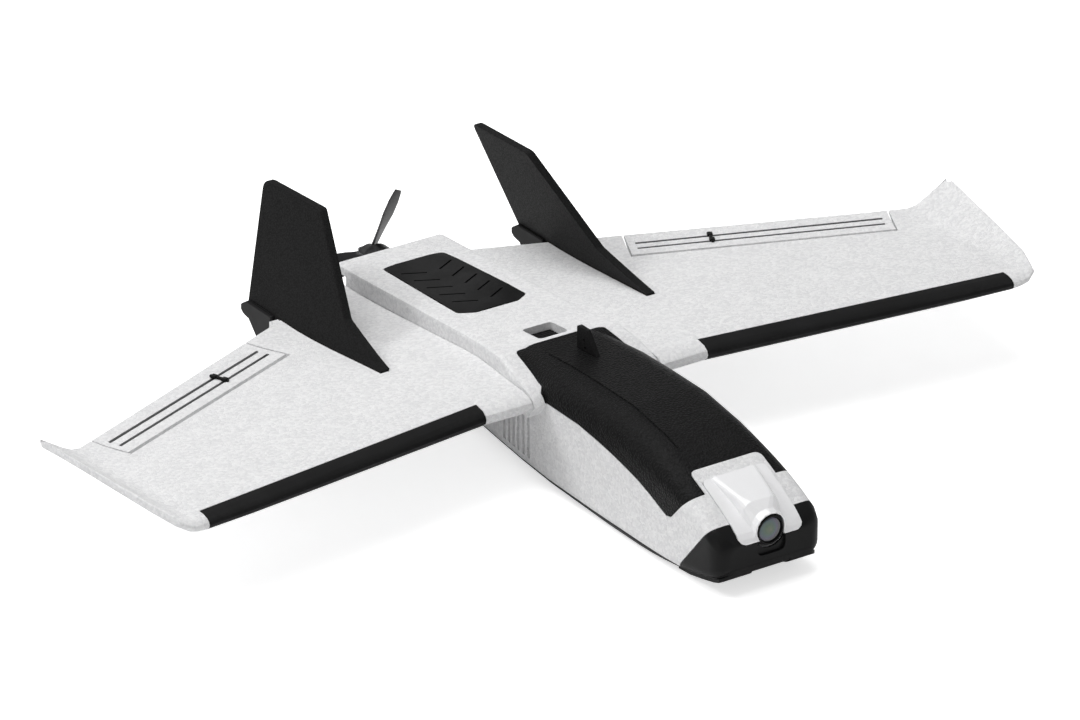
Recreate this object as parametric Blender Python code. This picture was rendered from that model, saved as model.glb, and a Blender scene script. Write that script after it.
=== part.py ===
"""RC flying wing: a foam pod, forward-swept wings, two canted fins and a pusher motor.

Metres, +Z up, nose towards -Y, left wing towards +X.  The origin is on the flat belly,
under the main spar.  Every left-hand piece is modelled in place and its right-hand twin is
the same mesh mirrored across the X = 0 plane.
"""
import math

import bmesh
import bpy
from mathutils import Matrix, Vector

# ---------------------------------------------------------------- clearances
GAP = 0.0003                # between pieces that touch or are let into each other
RUNNING_GAP = 0.0005        # round a piece that turns or swings
CUT_MARGIN = 0.004          # how far a cutter runs past the face it opens

# ---------------------------------------------------------------- pod
NOSE_LENGTH = 0.200         # origin to the front face
TAIL_LENGTH = 0.140         # origin to the pod's rear face
POD_HALF_WIDTH = 0.032
POD_HEIGHT = 0.0652         # belly to the crest of the hatch
TAIL_HALF_WIDTH = 0.0155
TAIL_BOTTOM = 0.0230        # belly line at the rear face
TAIL_TOP = 0.0495
NOSE_FACE_BOTTOM = 0.0125
NOSE_FACE_TOP = 0.0270
NOSE_LIP = 0.0025           # how far the face's upper and lower edges are rounded off
NOSE_CORNER = 0.0080        # plan radius of the nose's corners
NOSE_RISE_LENGTH = 0.0720   # over which the chin comes down to the belly
NOSE_CLIMB_LENGTH = 0.1040  # over which the brow climbs to the crest
CREST_Y = -0.0700
TAIL_RISE_START = 0.0400
SHOULDER_RADIUS = 0.0150
BILGE_RADIUS = 0.0065
REAR_BILGE_RADIUS = 0.0120
BILGE_BLEND = 0.1200
HATCH_SKIN = 0.0030
BUMPER_SKIN = 0.0026
BUMPER_LENGTH = 0.0340
BUMPER_FOOT_Z = 0.0060      # where its rear edge starts to lean forwards
BUMPER_BROW_LENGTH = 0.0065 # left of it at the top
BUMPER_TOP_Z = 0.0385
BELLY_PLATE_HEIGHT = 0.0024
BELLY_PLATE_SETBACK = 0.0100
PAD_LENGTH = 0.0480
PAD_INNER = 0.0115
PAD_OUTER = 0.0290
PAD_RISE = 0.0008
LENS_NOTCH_HALF = 0.0085
LENS_NOTCH_BOTTOM = 0.0185
LENS_NOTCH_CORNER = 0.0040
LENS_NOTCH_DEPTH = 0.0015

# ---------------------------------------------------------------- deck over the wing roots
DECK_HALF_WIDTH = 0.0340
DECK_FLARE = 0.0055         # how much wider each side is at the front
DECK_FLARE_REAR = 0.0200
DECK_FLARE_FRONT = -0.0420
DECK_FRONT = -0.0500
DECK_REAR = TAIL_LENGTH + 0.0040
DECK_LIP = 0.0040           # thickness of the overhang above the motor
DECK_LIP_LENGTH = 0.0100
DECK_FRONT_TOP = 0.0615
DECK_REAR_TOP = 0.0515
DECK_BOTTOM = 0.0400
DECK_EDGE_RADIUS = 0.0030

# ---------------------------------------------------------------- wing
HALF_SPAN = 0.280
ROOT_LEADING_Y = -0.0490
KINK_X = 0.066              # where the leading edge starts to sweep forward
TIP_LEADING_Y = -0.0740
ROOT_TRAILING_Y = 0.1390
TIP_TRAILING_Y = 0.0318
OUTER_TRAILING_Y = 0.0386   # at the elevon's outer end
TIP_TRAILING_SLOPE = 0.084
ROOT_LEADING_Z = 0.0478
TIP_LEADING_Z = 0.0496
ROOT_TRAILING_Z = 0.0418
TIP_TRAILING_Z = 0.0493
ROOT_HALF_THICKNESS = 0.0062
TIP_HALF_THICKNESS = 0.0042
TRAILING_HALF_THICKNESS = 0.0008
CREST_AT = 0.25             # chord fraction of the thickest place
REFLEX = 0.0018             # how far the mean line dips ahead of the trailing edge
TIP_LENGTH = 0.020          # span of the upturned tip at the trailing edge
TIP_FOLD_FRONT = 0.025      # the same at the leading edge
TIP_UPTURN = math.radians(32)
TIP_FOLD_RADIUS = 0.003
TIP_EDGE_FRONT = 0.0168     # how far the tip's front corner lies inside the tip point
TIP_CORNER_RADIUS = 0.024
LEADING_BLUNTNESS = 8
WING_STEPS = (0.004, 0.02, 0.05, 0.10, 0.18, 0.30, 0.50, 0.72, 0.82, 0.91, 1.0)

# ---------------------------------------------------------------- leading-edge guard
GUARD_START = 0.068
GUARD_END_INSET = 0.035     # from the tip point
GUARD_WIDTH = 0.0095
GUARD_SKIN = 0.0012

# ---------------------------------------------------------------- elevon
ELEVON_START = 0.1183       # inner end, measured at the trailing edge
ELEVON_END_INSET = 0.0342   # outer end to the tip point
ELEVON_ROOT_CHORD = 0.0263
ELEVON_TIP_CHORD = 0.0234
ELEVON_END_GAP = 0.0010
GROOVE_HALF_WIDTH = 0.0012  # of the V along the hinge, at the top
GROOVE_DEPTH = 0.0040
HINGE_HALF_GAP = 0.0003     # at the bottom of the V
HINGE_RISE = 0.0003         # of the axis above the lower surface
STRIP_WIDTH = 0.0012
STRIP_DEPTH = 0.0010
STRIP_INSET = 0.0044        # from the elevon's ends
STRIP_OFFSETS = (0.0090, 0.0155)    # from the hinge line

# ---------------------------------------------------------------- linkage
HORN_STATION = 0.0440       # along the hinge line from the elevon's inner end
HORN_DROP = 0.0105          # hinge line to the pushrod hole
HORN_WIDTH = 0.0016
HORN_START = 0.0018         # behind the hinge axis
HORN_REACH = 0.0105
HORN_TONGUE = 0.0014
HORN_TIP_HALF = 0.0017
PIVOT_CLEARANCE = 0.0003
CLIP_OVERHANG = 0.0024      # of its bar past the strips
CLIP_BAR = 0.0014
CLIP_PAD = 0.0028           # side of the square pad over each strip
CLIP_HEIGHT = 0.0011
ROD_RADIUS = 0.0006
ROD_LENGTH = 0.0340
SERVO_LENGTH = 0.0205
SERVO_HEIGHT = 0.0075
SERVO_DEPTH = 0.0180
SERVO_AXIS_INSET = 0.0050   # of the output axis from the case's rear end
EAR_LENGTH = 0.0025
EAR_THICKNESS = 0.0015
EAR_SETBACK = 0.0030
ARM_HUB_RADIUS = 0.0028
ARM_TIP_RADIUS = 0.0017
ARM_THICKNESS = 0.0014
ARM_STANDOFF = 0.0010
SPLINE_RADIUS = 0.0020

# ---------------------------------------------------------------- fins
FIN_X = 0.0845              # fin plane, at the wing's surface
FIN_BASE_Z = 0.0430
FIN_CANT = math.radians(18.7)
FIN_THICKNESS = 0.0046
FIN_FRONT_Y = 0.0226
FIN_FRONT_Z = 0.0531
FIN_KINK_Y = 0.0628
FIN_KINK_Z = 0.0625
FIN_TOP_FRONT_Y = 0.1078
FIN_TOP_FRONT_Z = 0.1043
FIN_TOP_REAR_Y = 0.1607
FIN_TOP_REAR_Z = 0.1019
FIN_HEEL_Y = 0.1455
FIN_HEEL_Z = 0.0420
FIN_SLOT_DEPTH = 0.0030
FIN_EDGE = 0.0019
FIN_TIP_RADIUS = 0.0040
FIN_KINK_RADIUS = 0.0060
BOSS_LENGTH = 0.0045        # how far the boss runs past the trailing edge
BOSS_HALF_WIDTH = 0.0058
BOSS_HEIGHT = 0.0060
BRACKET_LENGTH = 0.0300
BRACKET_DROP = 0.0150
BRACKET_CHEEK = 0.0026      # how far it comes up beside the fin's heel
BRACKET_HALF_WIDTH = 0.0046

# ---------------------------------------------------------------- spar
SPAR_Y = 0.0
SPAR_Z = 0.0468
SPAR_RADIUS = 0.0020
SPAR_WALL = 0.0006
SPAR_HALF_LENGTH = 0.165

# ---------------------------------------------------------------- hatch
HATCH_REAR_Y = -0.0130
HATCH_REAR_HALF_WIDTH = 0.0268
HATCH_KINK_HALF_WIDTH = 0.0302
HATCH_REAR_CORNER = 0.0048
HATCH_LIP = 0.0018
HATCH_STRAIGHT = 0.0350
HATCH_KINK_Y = -0.0430
HATCH_KINK_Z = 0.0485
HATCH_KINK_STEP = 0.0030
HATCH_FOOT_Y = -NOSE_LENGTH + 0.0430
HATCH_FOOT_Z = 0.0295
HATCH_TOE_Y = -NOSE_LENGTH + 0.0270
HATCH_TOE_Z = 0.0456
NOTCH_HALF_WIDTH = 0.0215
NOTCH_REAR_Y = -NOSE_LENGTH + 0.0414
NOTCH_CORNER = 0.0040
PANEL_HALF_WIDTH = 0.0168   # the raised middle of the hatch
PANEL_RISE = 0.0005
PANEL_FRONT_Y = -NOSE_LENGTH + 0.0500
PANEL_REAR_Y = -0.0270
PANEL_CORNER = 0.0030
TAB_REAR_Y = -0.0315
TAB_TOP_LENGTH = 0.0085
TAB_BASE_LENGTH = 0.0175
TAB_HEIGHT = 0.0115
TAB_THICKNESS = 0.0024
TAB_SEAT = 0.0022
TAB_CORNER = 0.0015
TAB_HOLE_RADIUS = 0.0008
TAB_HOLES = ((0.0064, 0.0052), (0.0073, 0.0012))    # behind the rear edge, above the crest
MAGNET_RADIUS = 0.0030
MAGNET_HEIGHT = 0.0015
MAGNET_Y = -0.0185

# ---------------------------------------------------------------- bays and openings
BATTERY_BAY_FRONT = -NOSE_LENGTH + 0.0600
BATTERY_BAY_REAR = -0.0250
BATTERY_BAY_HALF_WIDTH = 0.0225
BAY_FLOOR = 0.0070
ELECTRONICS_BAY_FRONT = -0.0120
ELECTRONICS_BAY_REAR = 0.1150
ELECTRONICS_BAY_HALF_WIDTH = 0.0125
ELECTRONICS_FLOOR = 0.0260
TUNNEL_HALF_WIDTH = 0.0080
TUNNEL_TOP = 0.0400
ROOF_THICKNESS = 0.0060     # below the deck's rear edge
CAMERA_LEAD_HALF = 0.0040
INLET_FRONT = -0.0095
INLET_REAR = 0.0075
INLET_HALF_WIDTH = 0.0090
INLET_CORNER = 0.0028
RIB_COUNT = 6
RIB_PITCH = 0.0050
RIB_GROOVE = 0.0026
RIB_DEPTH = 0.0022
RIB_FIRST_Y = -0.0330
RIB_BOTTOM = 0.0100
RIB_TOP = 0.0330

# ---------------------------------------------------------------- vent cover
VENT_FRONT = 0.0430
VENT_REAR = 0.1225
VENT_REAR_HALF_WIDTH = 0.0188
VENT_FRONT_HALF_WIDTH = 0.0212
VENT_NOSE_HALF_WIDTH = 0.0130
VENT_CHAMFER = 0.0050
VENT_CORNER = 0.0030
VENT_FACET_DEPTH = 0.0013   # of the sloped facets at the corners
VENT_FRONT_FACET = (0.0010, 0.0260)  # where its crease starts and ends, from the front edge
VENT_REAR_FACET = (0.0080, 0.0230)   # across the rear edge, and along the side
VENT_PLATE = 0.0014
VENT_PROUD = 0.0006
VENT_RIM = 0.0045
VENT_WELL_HALF_WIDTH = 0.0165
SLOT_COUNT = 5
SLOT_PITCH = 0.0120
SLOT_FIRST_Y = 0.0580
SLOT_LENGTH = 0.0135
SLOT_WIDTH = 0.0011
SLOT_SWEEP = math.radians(30)
SLOT_CENTRE_X = 0.0097

# ---------------------------------------------------------------- camera
CAMERA_Z = 0.0309
LENS_FACE_Y = -NOSE_LENGTH + 0.0006
LENS_RADIUS = 0.0080
LENS_RIM_DEPTH = 0.0040
BARREL_RADIUS = 0.0060
GLASS_RADIUS = 0.0066
GLASS_SEAT = 0.0016
GLASS_BULGE = 0.0008
CAMERA_HALF = 0.0088
CAMERA_FRONT = -NOSE_LENGTH + 0.0170
CAMERA_BAY_SETBACK = 0.0040 # of its bay from the nose
CAMERA_REAR = -NOSE_LENGTH + 0.0280
COVER_HALF_WIDTH = 0.0190
COVER_REAR_Y = -NOSE_LENGTH + 0.0335
COVER_PROUD = 0.0007
COVER_SKIN = 0.0008
COVER_BOTTOM = 0.0275
COVER_CORNER = 0.0030
COVER_CHIN_CORNER = 0.0045
NACELLE_TOP_Z = 0.0457
NACELLE_FRONT_Y = -NOSE_LENGTH + 0.0153
NACELLE_TOP_HALF = 0.0103
NACELLE_BASE_HALF = 0.0150
NACELLE_REAR_TOP_HALF = 0.0136
NACELLE_REAR_TOP_Z = 0.0504
NACELLE_EDGE = 0.0022
NACELLE_WALL = 0.0012
COLLAR_WALL = 0.0014

# ---------------------------------------------------------------- motor and propeller
MOTOR_Z = 0.0393
MOUNT_RADIUS = 0.0120
MOUNT_THICKNESS = 0.0030
SCREW_CIRCLE = 0.0080
SCREW_RADIUS = 0.0011
MOTOR_BASE_RADIUS = 0.0075
MOTOR_BASE_LENGTH = 0.0030
STATOR_RADIUS = 0.0068
STATOR_LENGTH = 0.0085
STATOR_BORE = 0.0022
STATOR_SLOTS = 9
STATOR_SLOT_RADIUS = 0.0007
BELL_RADIUS = 0.0093
BELL_LENGTH = 0.0120
BELL_WALL = 0.0012
BELL_END = 0.0016
BELL_WINDOWS = 6
WINDOW_CIRCLE = 0.0053
WINDOW_RADIUS = 0.0018
SHAFT_RADIUS = 0.0015
SHAFT_LENGTH = 0.0270
PROP_STANDOFF = 0.0015
BLADE_COUNT = 3
PROP_RADIUS = 0.0381
PROP_PITCH = 0.0762
HUB_RADIUS = 0.0062
HUB_LENGTH = 0.0062
BLADE_ANGLE = math.radians(28.5)    # first blade, from straight up towards +X
BLADE_ROOT_CHORD = 0.0085
BLADE_MAX_CHORD = 0.0128
BLADE_TIP_CHORD = 0.0062
BLADE_ROOT_PITCH = math.radians(36)
BLADE_ROOT_THICKNESS = 0.0026
BLADE_TIP_THICKNESS = 0.0009
BLADE_SECTION = ((-0.50, 0.0), (-0.42, 0.32), (-0.22, 0.50), (0.08, 0.46), (0.34, 0.24),
                 (0.50, 0.0), (0.30, -0.14), (0.0, -0.24), (-0.30, -0.26), (-0.46, -0.18))
NUT_RADIUS = 0.0040
NUT_LENGTH = 0.0038

# ---------------------------------------------------------------- equipment
BATTERY_SIZE = (0.0300, 0.0700, 0.0180)
BATTERY_FRONT_Y = BATTERY_BAY_FRONT + 0.0100
BATTERY_EDGE = 0.0025
STRAP_WIDTH = 0.0140
STRAP_THICKNESS = 0.0010
STRAP_FOOT = 0.0040
BOARD_THICKNESS = 0.0016
# name, centre along the pod, half length, half width, height
BOARDS = (("receiver", 0.0050, 0.0085, 0.0065, 0.0045),
          ("flight_controller", 0.0330, 0.0110, 0.0110, 0.0070),
          ("speed_controller", 0.0610, 0.0125, 0.0095, 0.0060),
          ("video_transmitter", 0.0930, 0.0130, 0.0100, 0.0065))

COLOURS = {
    "foam": ((0.86, 0.86, 0.87), 0.75, 0.0),
    "black_foam": ((0.020, 0.020, 0.021), 0.60, 0.0),
    "black_plastic": ((0.016, 0.016, 0.017), 0.42, 0.0),
    "white_plastic": ((0.90, 0.90, 0.91), 0.22, 0.0),
    "carbon": ((0.014, 0.014, 0.015), 0.35, 0.0),
    "glass": ((0.05, 0.09, 0.08), 0.04, 0.0),
    "black_metal": ((0.030, 0.030, 0.032), 0.32, 1.0),
    "steel": ((0.55, 0.55, 0.56), 0.28, 1.0),
    "copper": ((0.62, 0.30, 0.16), 0.35, 1.0),
    "board": ((0.02, 0.05, 0.035), 0.45, 0.0),
    "wrap": ((0.035, 0.045, 0.10), 0.35, 0.0),
    "webbing": ((0.03, 0.03, 0.032), 0.85, 0.0),
    "magnet": ((0.66, 0.66, 0.67), 0.22, 1.0),
}


# ================================================================ helpers
def clear_scene():
    """Remove every object that the file opened with."""
    for existing in list(bpy.data.objects):
        bpy.data.objects.remove(existing, do_unlink=True)


def material(name):
    """Return the named finish, built the first time that it is asked for."""
    finish = bpy.data.materials.get(name)
    if finish is not None:
        return finish
    colour, roughness, metallic = COLOURS[name]
    finish = bpy.data.materials.new(name)
    finish.use_nodes = True
    shader = finish.node_tree.nodes["Principled BSDF"]
    shader.inputs["Base Color"].default_value = (*colour, 1.0)
    shader.inputs["Roughness"].default_value = roughness
    shader.inputs["Metallic"].default_value = metallic
    return finish


def add_object(name, mesh, finish=None):
    """Link a mesh into the scene as an object at the origin."""
    made = bpy.data.objects.new(name, mesh)
    bpy.context.scene.collection.objects.link(made)
    if finish is not None:
        mesh.materials.clear()
        mesh.materials.append(material(finish))
    return made


def mesh_from_bmesh(name, bm):
    """Turn a bmesh with outward faces into a mesh."""
    bmesh.ops.recalc_face_normals(bm, faces=bm.faces)
    mesh = bpy.data.meshes.new(name)
    bm.to_mesh(mesh)
    bm.free()
    return mesh


def loft(name, rings, finish=None):
    """Skin a list of closed rings that have equal point counts, and cap both ends."""
    bm = bmesh.new()
    made = [[bm.verts.new(point) for point in ring] for ring in rings]
    for low, high in zip(made, made[1:]):
        for index in range(len(low)):
            after = (index + 1) % len(low)
            bm.faces.new((low[index], low[after], high[after], high[index]))
    bm.faces.new(list(reversed(made[0])))
    bm.faces.new(made[-1])
    return add_object(name, mesh_from_bmesh(name, bm), finish)


def prism(name, outline, axis, low, high, finish=None):
    """Extrude a flat outline along X, Y or Z between two places."""
    def place(point, along):
        if axis == "X":
            return (along, point[0], point[1])
        if axis == "Y":
            return (point[0], along, point[1])
        return (point[0], point[1], along)
    return loft(name, [[place(point, low) for point in outline],
                       [place(point, high) for point in outline]], finish)


def block(name, low, high, finish=None):
    """A rectangular solid between two corners."""
    outline = [(low[0], low[1]), (high[0], low[1]), (high[0], high[1]), (low[0], high[1])]
    return prism(name, outline, "Z", low[2], high[2], finish)


def circle(centre, radius, count=24):
    """Points round a circle, starting on the first axis."""
    return [(centre[0] + radius * math.cos(2 * math.pi * index / count),
             centre[1] + radius * math.sin(2 * math.pi * index / count))
            for index in range(count)]


def turned(name, profile, y_start, centre, finish=None, count=28):
    """A solid of revolution along +Y from (distance, radius) pairs, capped at both ends."""
    rings = []
    for distance, radius in profile:
        rings.append([(x, y_start + distance, z) for x, z in circle(centre, radius, count)])
    return loft(name, rings, finish)


def bake(target):
    """Replace an object's mesh by what its modifiers make of it."""
    bpy.context.view_layer.update()
    graph = bpy.context.evaluated_depsgraph_get()
    mesh = bpy.data.meshes.new_from_object(target.evaluated_get(graph), depsgraph=graph)
    mesh.name = target.name
    target.modifiers.clear()
    target.data = mesh
    return target


def combine(target, other, operation, keep=False):
    """Boolean one object with another, and drop the second unless it is kept."""
    modifier = target.modifiers.new("cut", "BOOLEAN")
    modifier.operation = operation
    modifier.solver = "EXACT"
    modifier.object = other
    bake(target)
    if not keep:
        bpy.data.objects.remove(other, do_unlink=True)
    return target


def cut(target, cutter, keep=False):
    """Take a cutter away from an object."""
    return combine(target, cutter, "DIFFERENCE", keep)


def fuse(target, other):
    """Join two overlapping solids into one closed body."""
    return combine(target, other, "UNION")


def bevel_edges(target, width, segments, chosen):
    """Round the edges that a test function picks."""
    bm = bmesh.new()
    bm.from_mesh(target.data)
    bm.normal_update()
    edges = [edge for edge in bm.edges if chosen(edge)]
    bmesh.ops.bevel(bm, geom=edges, offset=width, segments=segments, profile=0.5,
                    affect="EDGES", clamp_overlap=True)
    bm.to_mesh(target.data)
    bm.free()
    return target


def smooth(target, angle=35.0):
    """Shade round places smooth and leave true edges sharp."""
    target.data.shade_smooth()
    target.data.set_sharp_from_angle(angle=math.radians(angle))
    return target


def dress(target, name, finish):
    """Name a finished piece and give it its finish."""
    target.name = name
    target.data.name = name
    target.data.materials.clear()
    target.data.materials.append(material(finish))
    return smooth(target)


def mirrored(source, name):
    """A copy of a left-hand piece on the right-hand side."""
    bm = bmesh.new()
    bm.from_mesh(source.data)
    for vertex in bm.verts:
        vertex.co.x = -vertex.co.x
    bmesh.ops.reverse_faces(bm, faces=bm.faces)
    mesh = bpy.data.meshes.new(name)
    bm.to_mesh(mesh)
    bm.free()
    mesh.materials.append(source.data.materials[0])
    made = add_object(name, mesh)
    made.location = (-source.location.x, source.location.y, source.location.z)
    return smooth(made)


def pair(source, piece):
    """Name a left-hand piece and add its right-hand twin."""
    source.name = "left_" + piece
    return mirrored(source, "right_" + piece)


def set_origin(target, point):
    """Move an object's origin without moving its shape."""
    target.data.transform(Matrix.Translation(-Vector(point)))
    target.location = point


def curve_through(points, steps):
    """Sample a smooth curve through a few points, ends included."""
    padded = [points[0]] + list(points) + [points[-1]]
    samples = []
    for index in range(1, len(padded) - 2):
        p0, p1, p2, p3 = (Vector(padded[index + shift]) for shift in (-1, 0, 1, 2))
        for step in range(steps):
            t = step / steps
            samples.append(tuple(0.5 * (2 * p1 + (p2 - p0) * t
                                        + (2 * p0 - 5 * p1 + 4 * p2 - p3) * t * t
                                        + (3 * p1 - p0 - 3 * p2 + p3) * t ** 3)))
    samples.append(tuple(points[-1]))
    return samples


def between(low, high, share):
    """Linear blend of two values."""
    return low + (high - low) * share


def ease(share):
    """Smooth step from 0 to 1."""
    share = min(1.0, max(0.0, share))
    return share * share * (3 - 2 * share)


# ================================================================ pod
def pod_shape(y):
    """Half width, belly, crest, shoulder radius and bilge radius of the pod at a station."""
    behind_nose = max(0.0, y + NOSE_LENGTH)
    rounding = min(1.0, behind_nose / NOSE_CORNER)
    corner = NOSE_CORNER * math.sqrt(1 - (1 - rounding) ** 2)
    unrounded = 1 - corner / NOSE_CORNER
    tail = ease((y - DECK_FRONT) / (TAIL_LENGTH - DECK_FRONT)) ** 0.85
    half_width = between(POD_HALF_WIDTH, TAIL_HALF_WIDTH, tail) - NOSE_CORNER + corner
    rise = max(0.0, 1 - behind_nose / NOSE_RISE_LENGTH)
    bottom = (NOSE_FACE_BOTTOM - NOSE_LIP) * rise ** 2 + NOSE_LIP * unrounded
    bottom += TAIL_BOTTOM * ease((y - TAIL_RISE_START) / (TAIL_LENGTH - TAIL_RISE_START)) ** 1.3
    climb = math.sin(0.5 * math.pi * min(1.0, behind_nose / NOSE_CLIMB_LENGTH)) ** 0.85
    crest = between(NOSE_FACE_TOP + NOSE_LIP, POD_HEIGHT, climb) - NOSE_LIP * unrounded
    crest = between(crest, TAIL_TOP, ease((y - CREST_Y) / (TAIL_LENGTH - CREST_Y)))
    shoulder = SHOULDER_RADIUS * between(0.4, 1.0, ease(behind_nose / NOSE_RISE_LENGTH))
    bilge = between(BILGE_RADIUS, REAR_BILGE_RADIUS, ease((y + BILGE_BLEND) / BILGE_BLEND))
    return half_width, bottom, crest, shoulder, bilge


def pod_ring(y, inset=0.0, arc_steps=5):
    """Closed section of the pod at a station, pulled in by an inset."""
    half_width, bottom, crest, shoulder, bilge = pod_shape(y)
    half_width -= inset
    bottom += inset
    crest -= inset
    height = crest - bottom
    shoulder = min(max(shoulder - inset, 0.001), 0.55 * height, half_width * 0.9)
    bilge = min(max(bilge - inset, 0.001), 0.35 * height, half_width * 0.9)
    right = []
    for step in range(arc_steps + 1):
        angle = -0.5 * math.pi + 0.5 * math.pi * step / arc_steps
        right.append((half_width - bilge + bilge * math.cos(angle),
                      bottom + bilge + bilge * math.sin(angle)))
    for step in range(arc_steps + 3):
        angle = 0.5 * math.pi * step / (arc_steps + 2)
        right.append((half_width - shoulder + shoulder * math.cos(angle),
                      crest - shoulder + shoulder * math.sin(angle)))
    left = [(-x, z) for x, z in reversed(right)]
    return [(x, y, z) for x, z in right + left]


def pod_stations(inset=0.0):
    """Places along the pod where a section is drawn, closer together at the nose."""
    start = -NOSE_LENGTH + inset
    nose = [start + NOSE_CORNER * share for share in (0.0, 0.06, 0.2, 0.45, 1.0)]
    cheek = [nose[-1] + 0.010 * count for count in range(1, 7)]
    body = [between(cheek[-1], TAIL_LENGTH - inset, count / 10) for count in range(1, 11)]
    return nose + cheek + body


def pod_solid(name, inset=0.0):
    """The pod's outer form, shrunk by the inset or grown by a negative one."""
    return loft(name, [pod_ring(y, inset) for y in pod_stations(inset)])


def grown(outline, distance):
    """Push a flat outline outwards by a distance."""
    area = 0.0
    count = len(outline)
    for index in range(count):
        here, after = outline[index], outline[(index + 1) % count]
        area += here[0] * after[1] - after[0] * here[1]
    sign = 1.0 if area > 0 else -1.0
    result = []
    for index in range(count):
        before = Vector(outline[index - 1])
        here = Vector(outline[index])
        after = Vector(outline[(index + 1) % count])
        first = (here - before).normalized()
        second = (after - here).normalized()
        middle = Vector((first.y, -first.x)) * sign + Vector((second.y, -second.x)) * sign
        middle = middle / max(middle.length_squared * 0.5, 0.25)
        result.append(tuple(here + middle * distance))
    return result


def rounded(outline, radii, steps=4):
    """Round the corners of a flat outline, one radius for each corner."""
    result = []
    count = len(outline)
    for index, radius in enumerate(radii):
        here = Vector(outline[index])
        if radius <= 0.0:
            result.append(tuple(here))
            continue
        to_before = (Vector(outline[index - 1]) - here).normalized()
        to_after = (Vector(outline[(index + 1) % count]) - here).normalized()
        half_angle = 0.5 * to_before.angle(to_after)
        reach = radius / math.tan(half_angle)
        start = here + to_before * reach
        end = here + to_after * reach
        for step in range(steps + 1):
            t = step / steps
            point = start * (1 - t) ** 2 + here * 2 * t * (1 - t) + end * t ** 2
            result.append(tuple(point))
    return result


def side_cutter(name, outline, grow=0.0):
    """A block across the pod whose side view is the outline, grown all round."""
    reach = POD_HALF_WIDTH + DECK_HALF_WIDTH
    return prism(name, grown(outline, grow), "X", -reach, reach)


def is_upright(edge):
    """True for an edge that runs along Z."""
    direction = (edge.verts[1].co - edge.verts[0].co).normalized()
    return abs(direction.z) > 0.999


def hatch_outline():
    """Side view of the hatch's edge, from the rear over the flank to the toes."""
    above = POD_HEIGHT + 2 * CUT_MARGIN
    rear_z = DECK_FRONT_TOP - HATCH_LIP
    flank = curve_through([(HATCH_KINK_Y - HATCH_STRAIGHT, HATCH_KINK_Z - 0.0005),
                           (between(HATCH_KINK_Y, HATCH_FOOT_Y, 0.54),
                            between(HATCH_KINK_Z, HATCH_FOOT_Z, 0.22)),
                           (between(HATCH_KINK_Y, HATCH_FOOT_Y, 0.78),
                            between(HATCH_KINK_Z, HATCH_FOOT_Z, 0.54)),
                           (HATCH_FOOT_Y + 0.002, HATCH_FOOT_Z)], 3)
    return ([(HATCH_REAR_Y + CUT_MARGIN, above),
             (HATCH_REAR_Y + CUT_MARGIN, rear_z),
             (HATCH_REAR_Y, rear_z),
             (HATCH_REAR_Y - 0.0085, rear_z - 0.0025),
             (between(HATCH_REAR_Y, HATCH_KINK_Y, 0.80), between(rear_z, HATCH_KINK_Z, 0.72)),
             (HATCH_KINK_Y, HATCH_KINK_Z)]
            + flank
            + [(HATCH_FOOT_Y - 0.002, HATCH_FOOT_Z + 0.0008),
               (HATCH_TOE_Y, HATCH_TOE_Z),
               (HATCH_TOE_Y - 0.001, above)])


def hatch_region(name, grow=0.0):
    """The space that the hatch fills: its side view, narrowed over the deck and notched."""
    region = side_cutter(name, hatch_outline(), grow)
    wide = POD_HALF_WIDTH + 2 * GAP + grow
    front = HATCH_KINK_HALF_WIDTH + grow
    rear = HATCH_REAR_HALF_WIDTH + grow
    rear_y = HATCH_REAR_Y + grow
    kink_y = HATCH_KINK_Y + grow
    plan = [(-wide, -NOSE_LENGTH), (wide, -NOSE_LENGTH), (wide, kink_y - HATCH_KINK_STEP),
            (front, kink_y), (rear, rear_y), (-rear, rear_y),
            (-front, kink_y), (-wide, kink_y - HATCH_KINK_STEP)]
    corner = HATCH_REAR_CORNER + grow
    plan = rounded(plan, (0.0, 0.0, 0.0, 0.0, corner, corner, 0.0, 0.0))
    combine(region, prism("plan", plan, "Z", 0.0, 2 * POD_HEIGHT), "INTERSECT")
    half = NOTCH_HALF_WIDTH - grow
    notch = [(-half, -NOSE_LENGTH - CUT_MARGIN), (half, -NOSE_LENGTH - CUT_MARGIN),
             (half, NOTCH_REAR_Y - grow), (-half, NOTCH_REAR_Y - grow)]
    notch = rounded(notch, (0.0, 0.0, NOTCH_CORNER, NOTCH_CORNER))
    return cut(region, prism("notch", notch, "Z", 0.0, 3 * POD_HEIGHT))


def nose_outline():
    """Side view of the space that the bumper fills, rear edge first."""
    ahead = -NOSE_LENGTH - CUT_MARGIN
    rear = -NOSE_LENGTH + BUMPER_LENGTH
    return [(rear, -CUT_MARGIN), (rear, BUMPER_FOOT_Z),
            (-NOSE_LENGTH + BUMPER_BROW_LENGTH, BUMPER_TOP_Z),
            (ahead, BUMPER_TOP_Z), (ahead, -CUT_MARGIN)]


def belly_slab(name, grow=0.0):
    """Everything below the upper face of the belly plate, following the pod's foot."""
    reach = POD_HALF_WIDTH + CUT_MARGIN
    stations = [y for y in pod_stations() if y < TAIL_LENGTH - BELLY_PLATE_SETBACK]
    rings = []
    for y in stations:
        bottom = pod_shape(y)[1]
        top = bottom + BELLY_PLATE_HEIGHT + grow
        rings.append([(reach, y, -CUT_MARGIN), (reach, y, top),
                      (-reach, y, top), (-reach, y, -CUT_MARGIN)])
    first_bottom = rings[0][1][2]
    rings[0] = [(x, y - CUT_MARGIN, z) for x, y, z in rings[0]]
    rings[-1] = [(x, y + grow, z) for x, y, z in rings[-1]]
    rings.insert(1, [(x, stations[0], min(z, first_bottom)) for x, _, z in rings[0]])
    return loft(name, rings)


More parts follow.
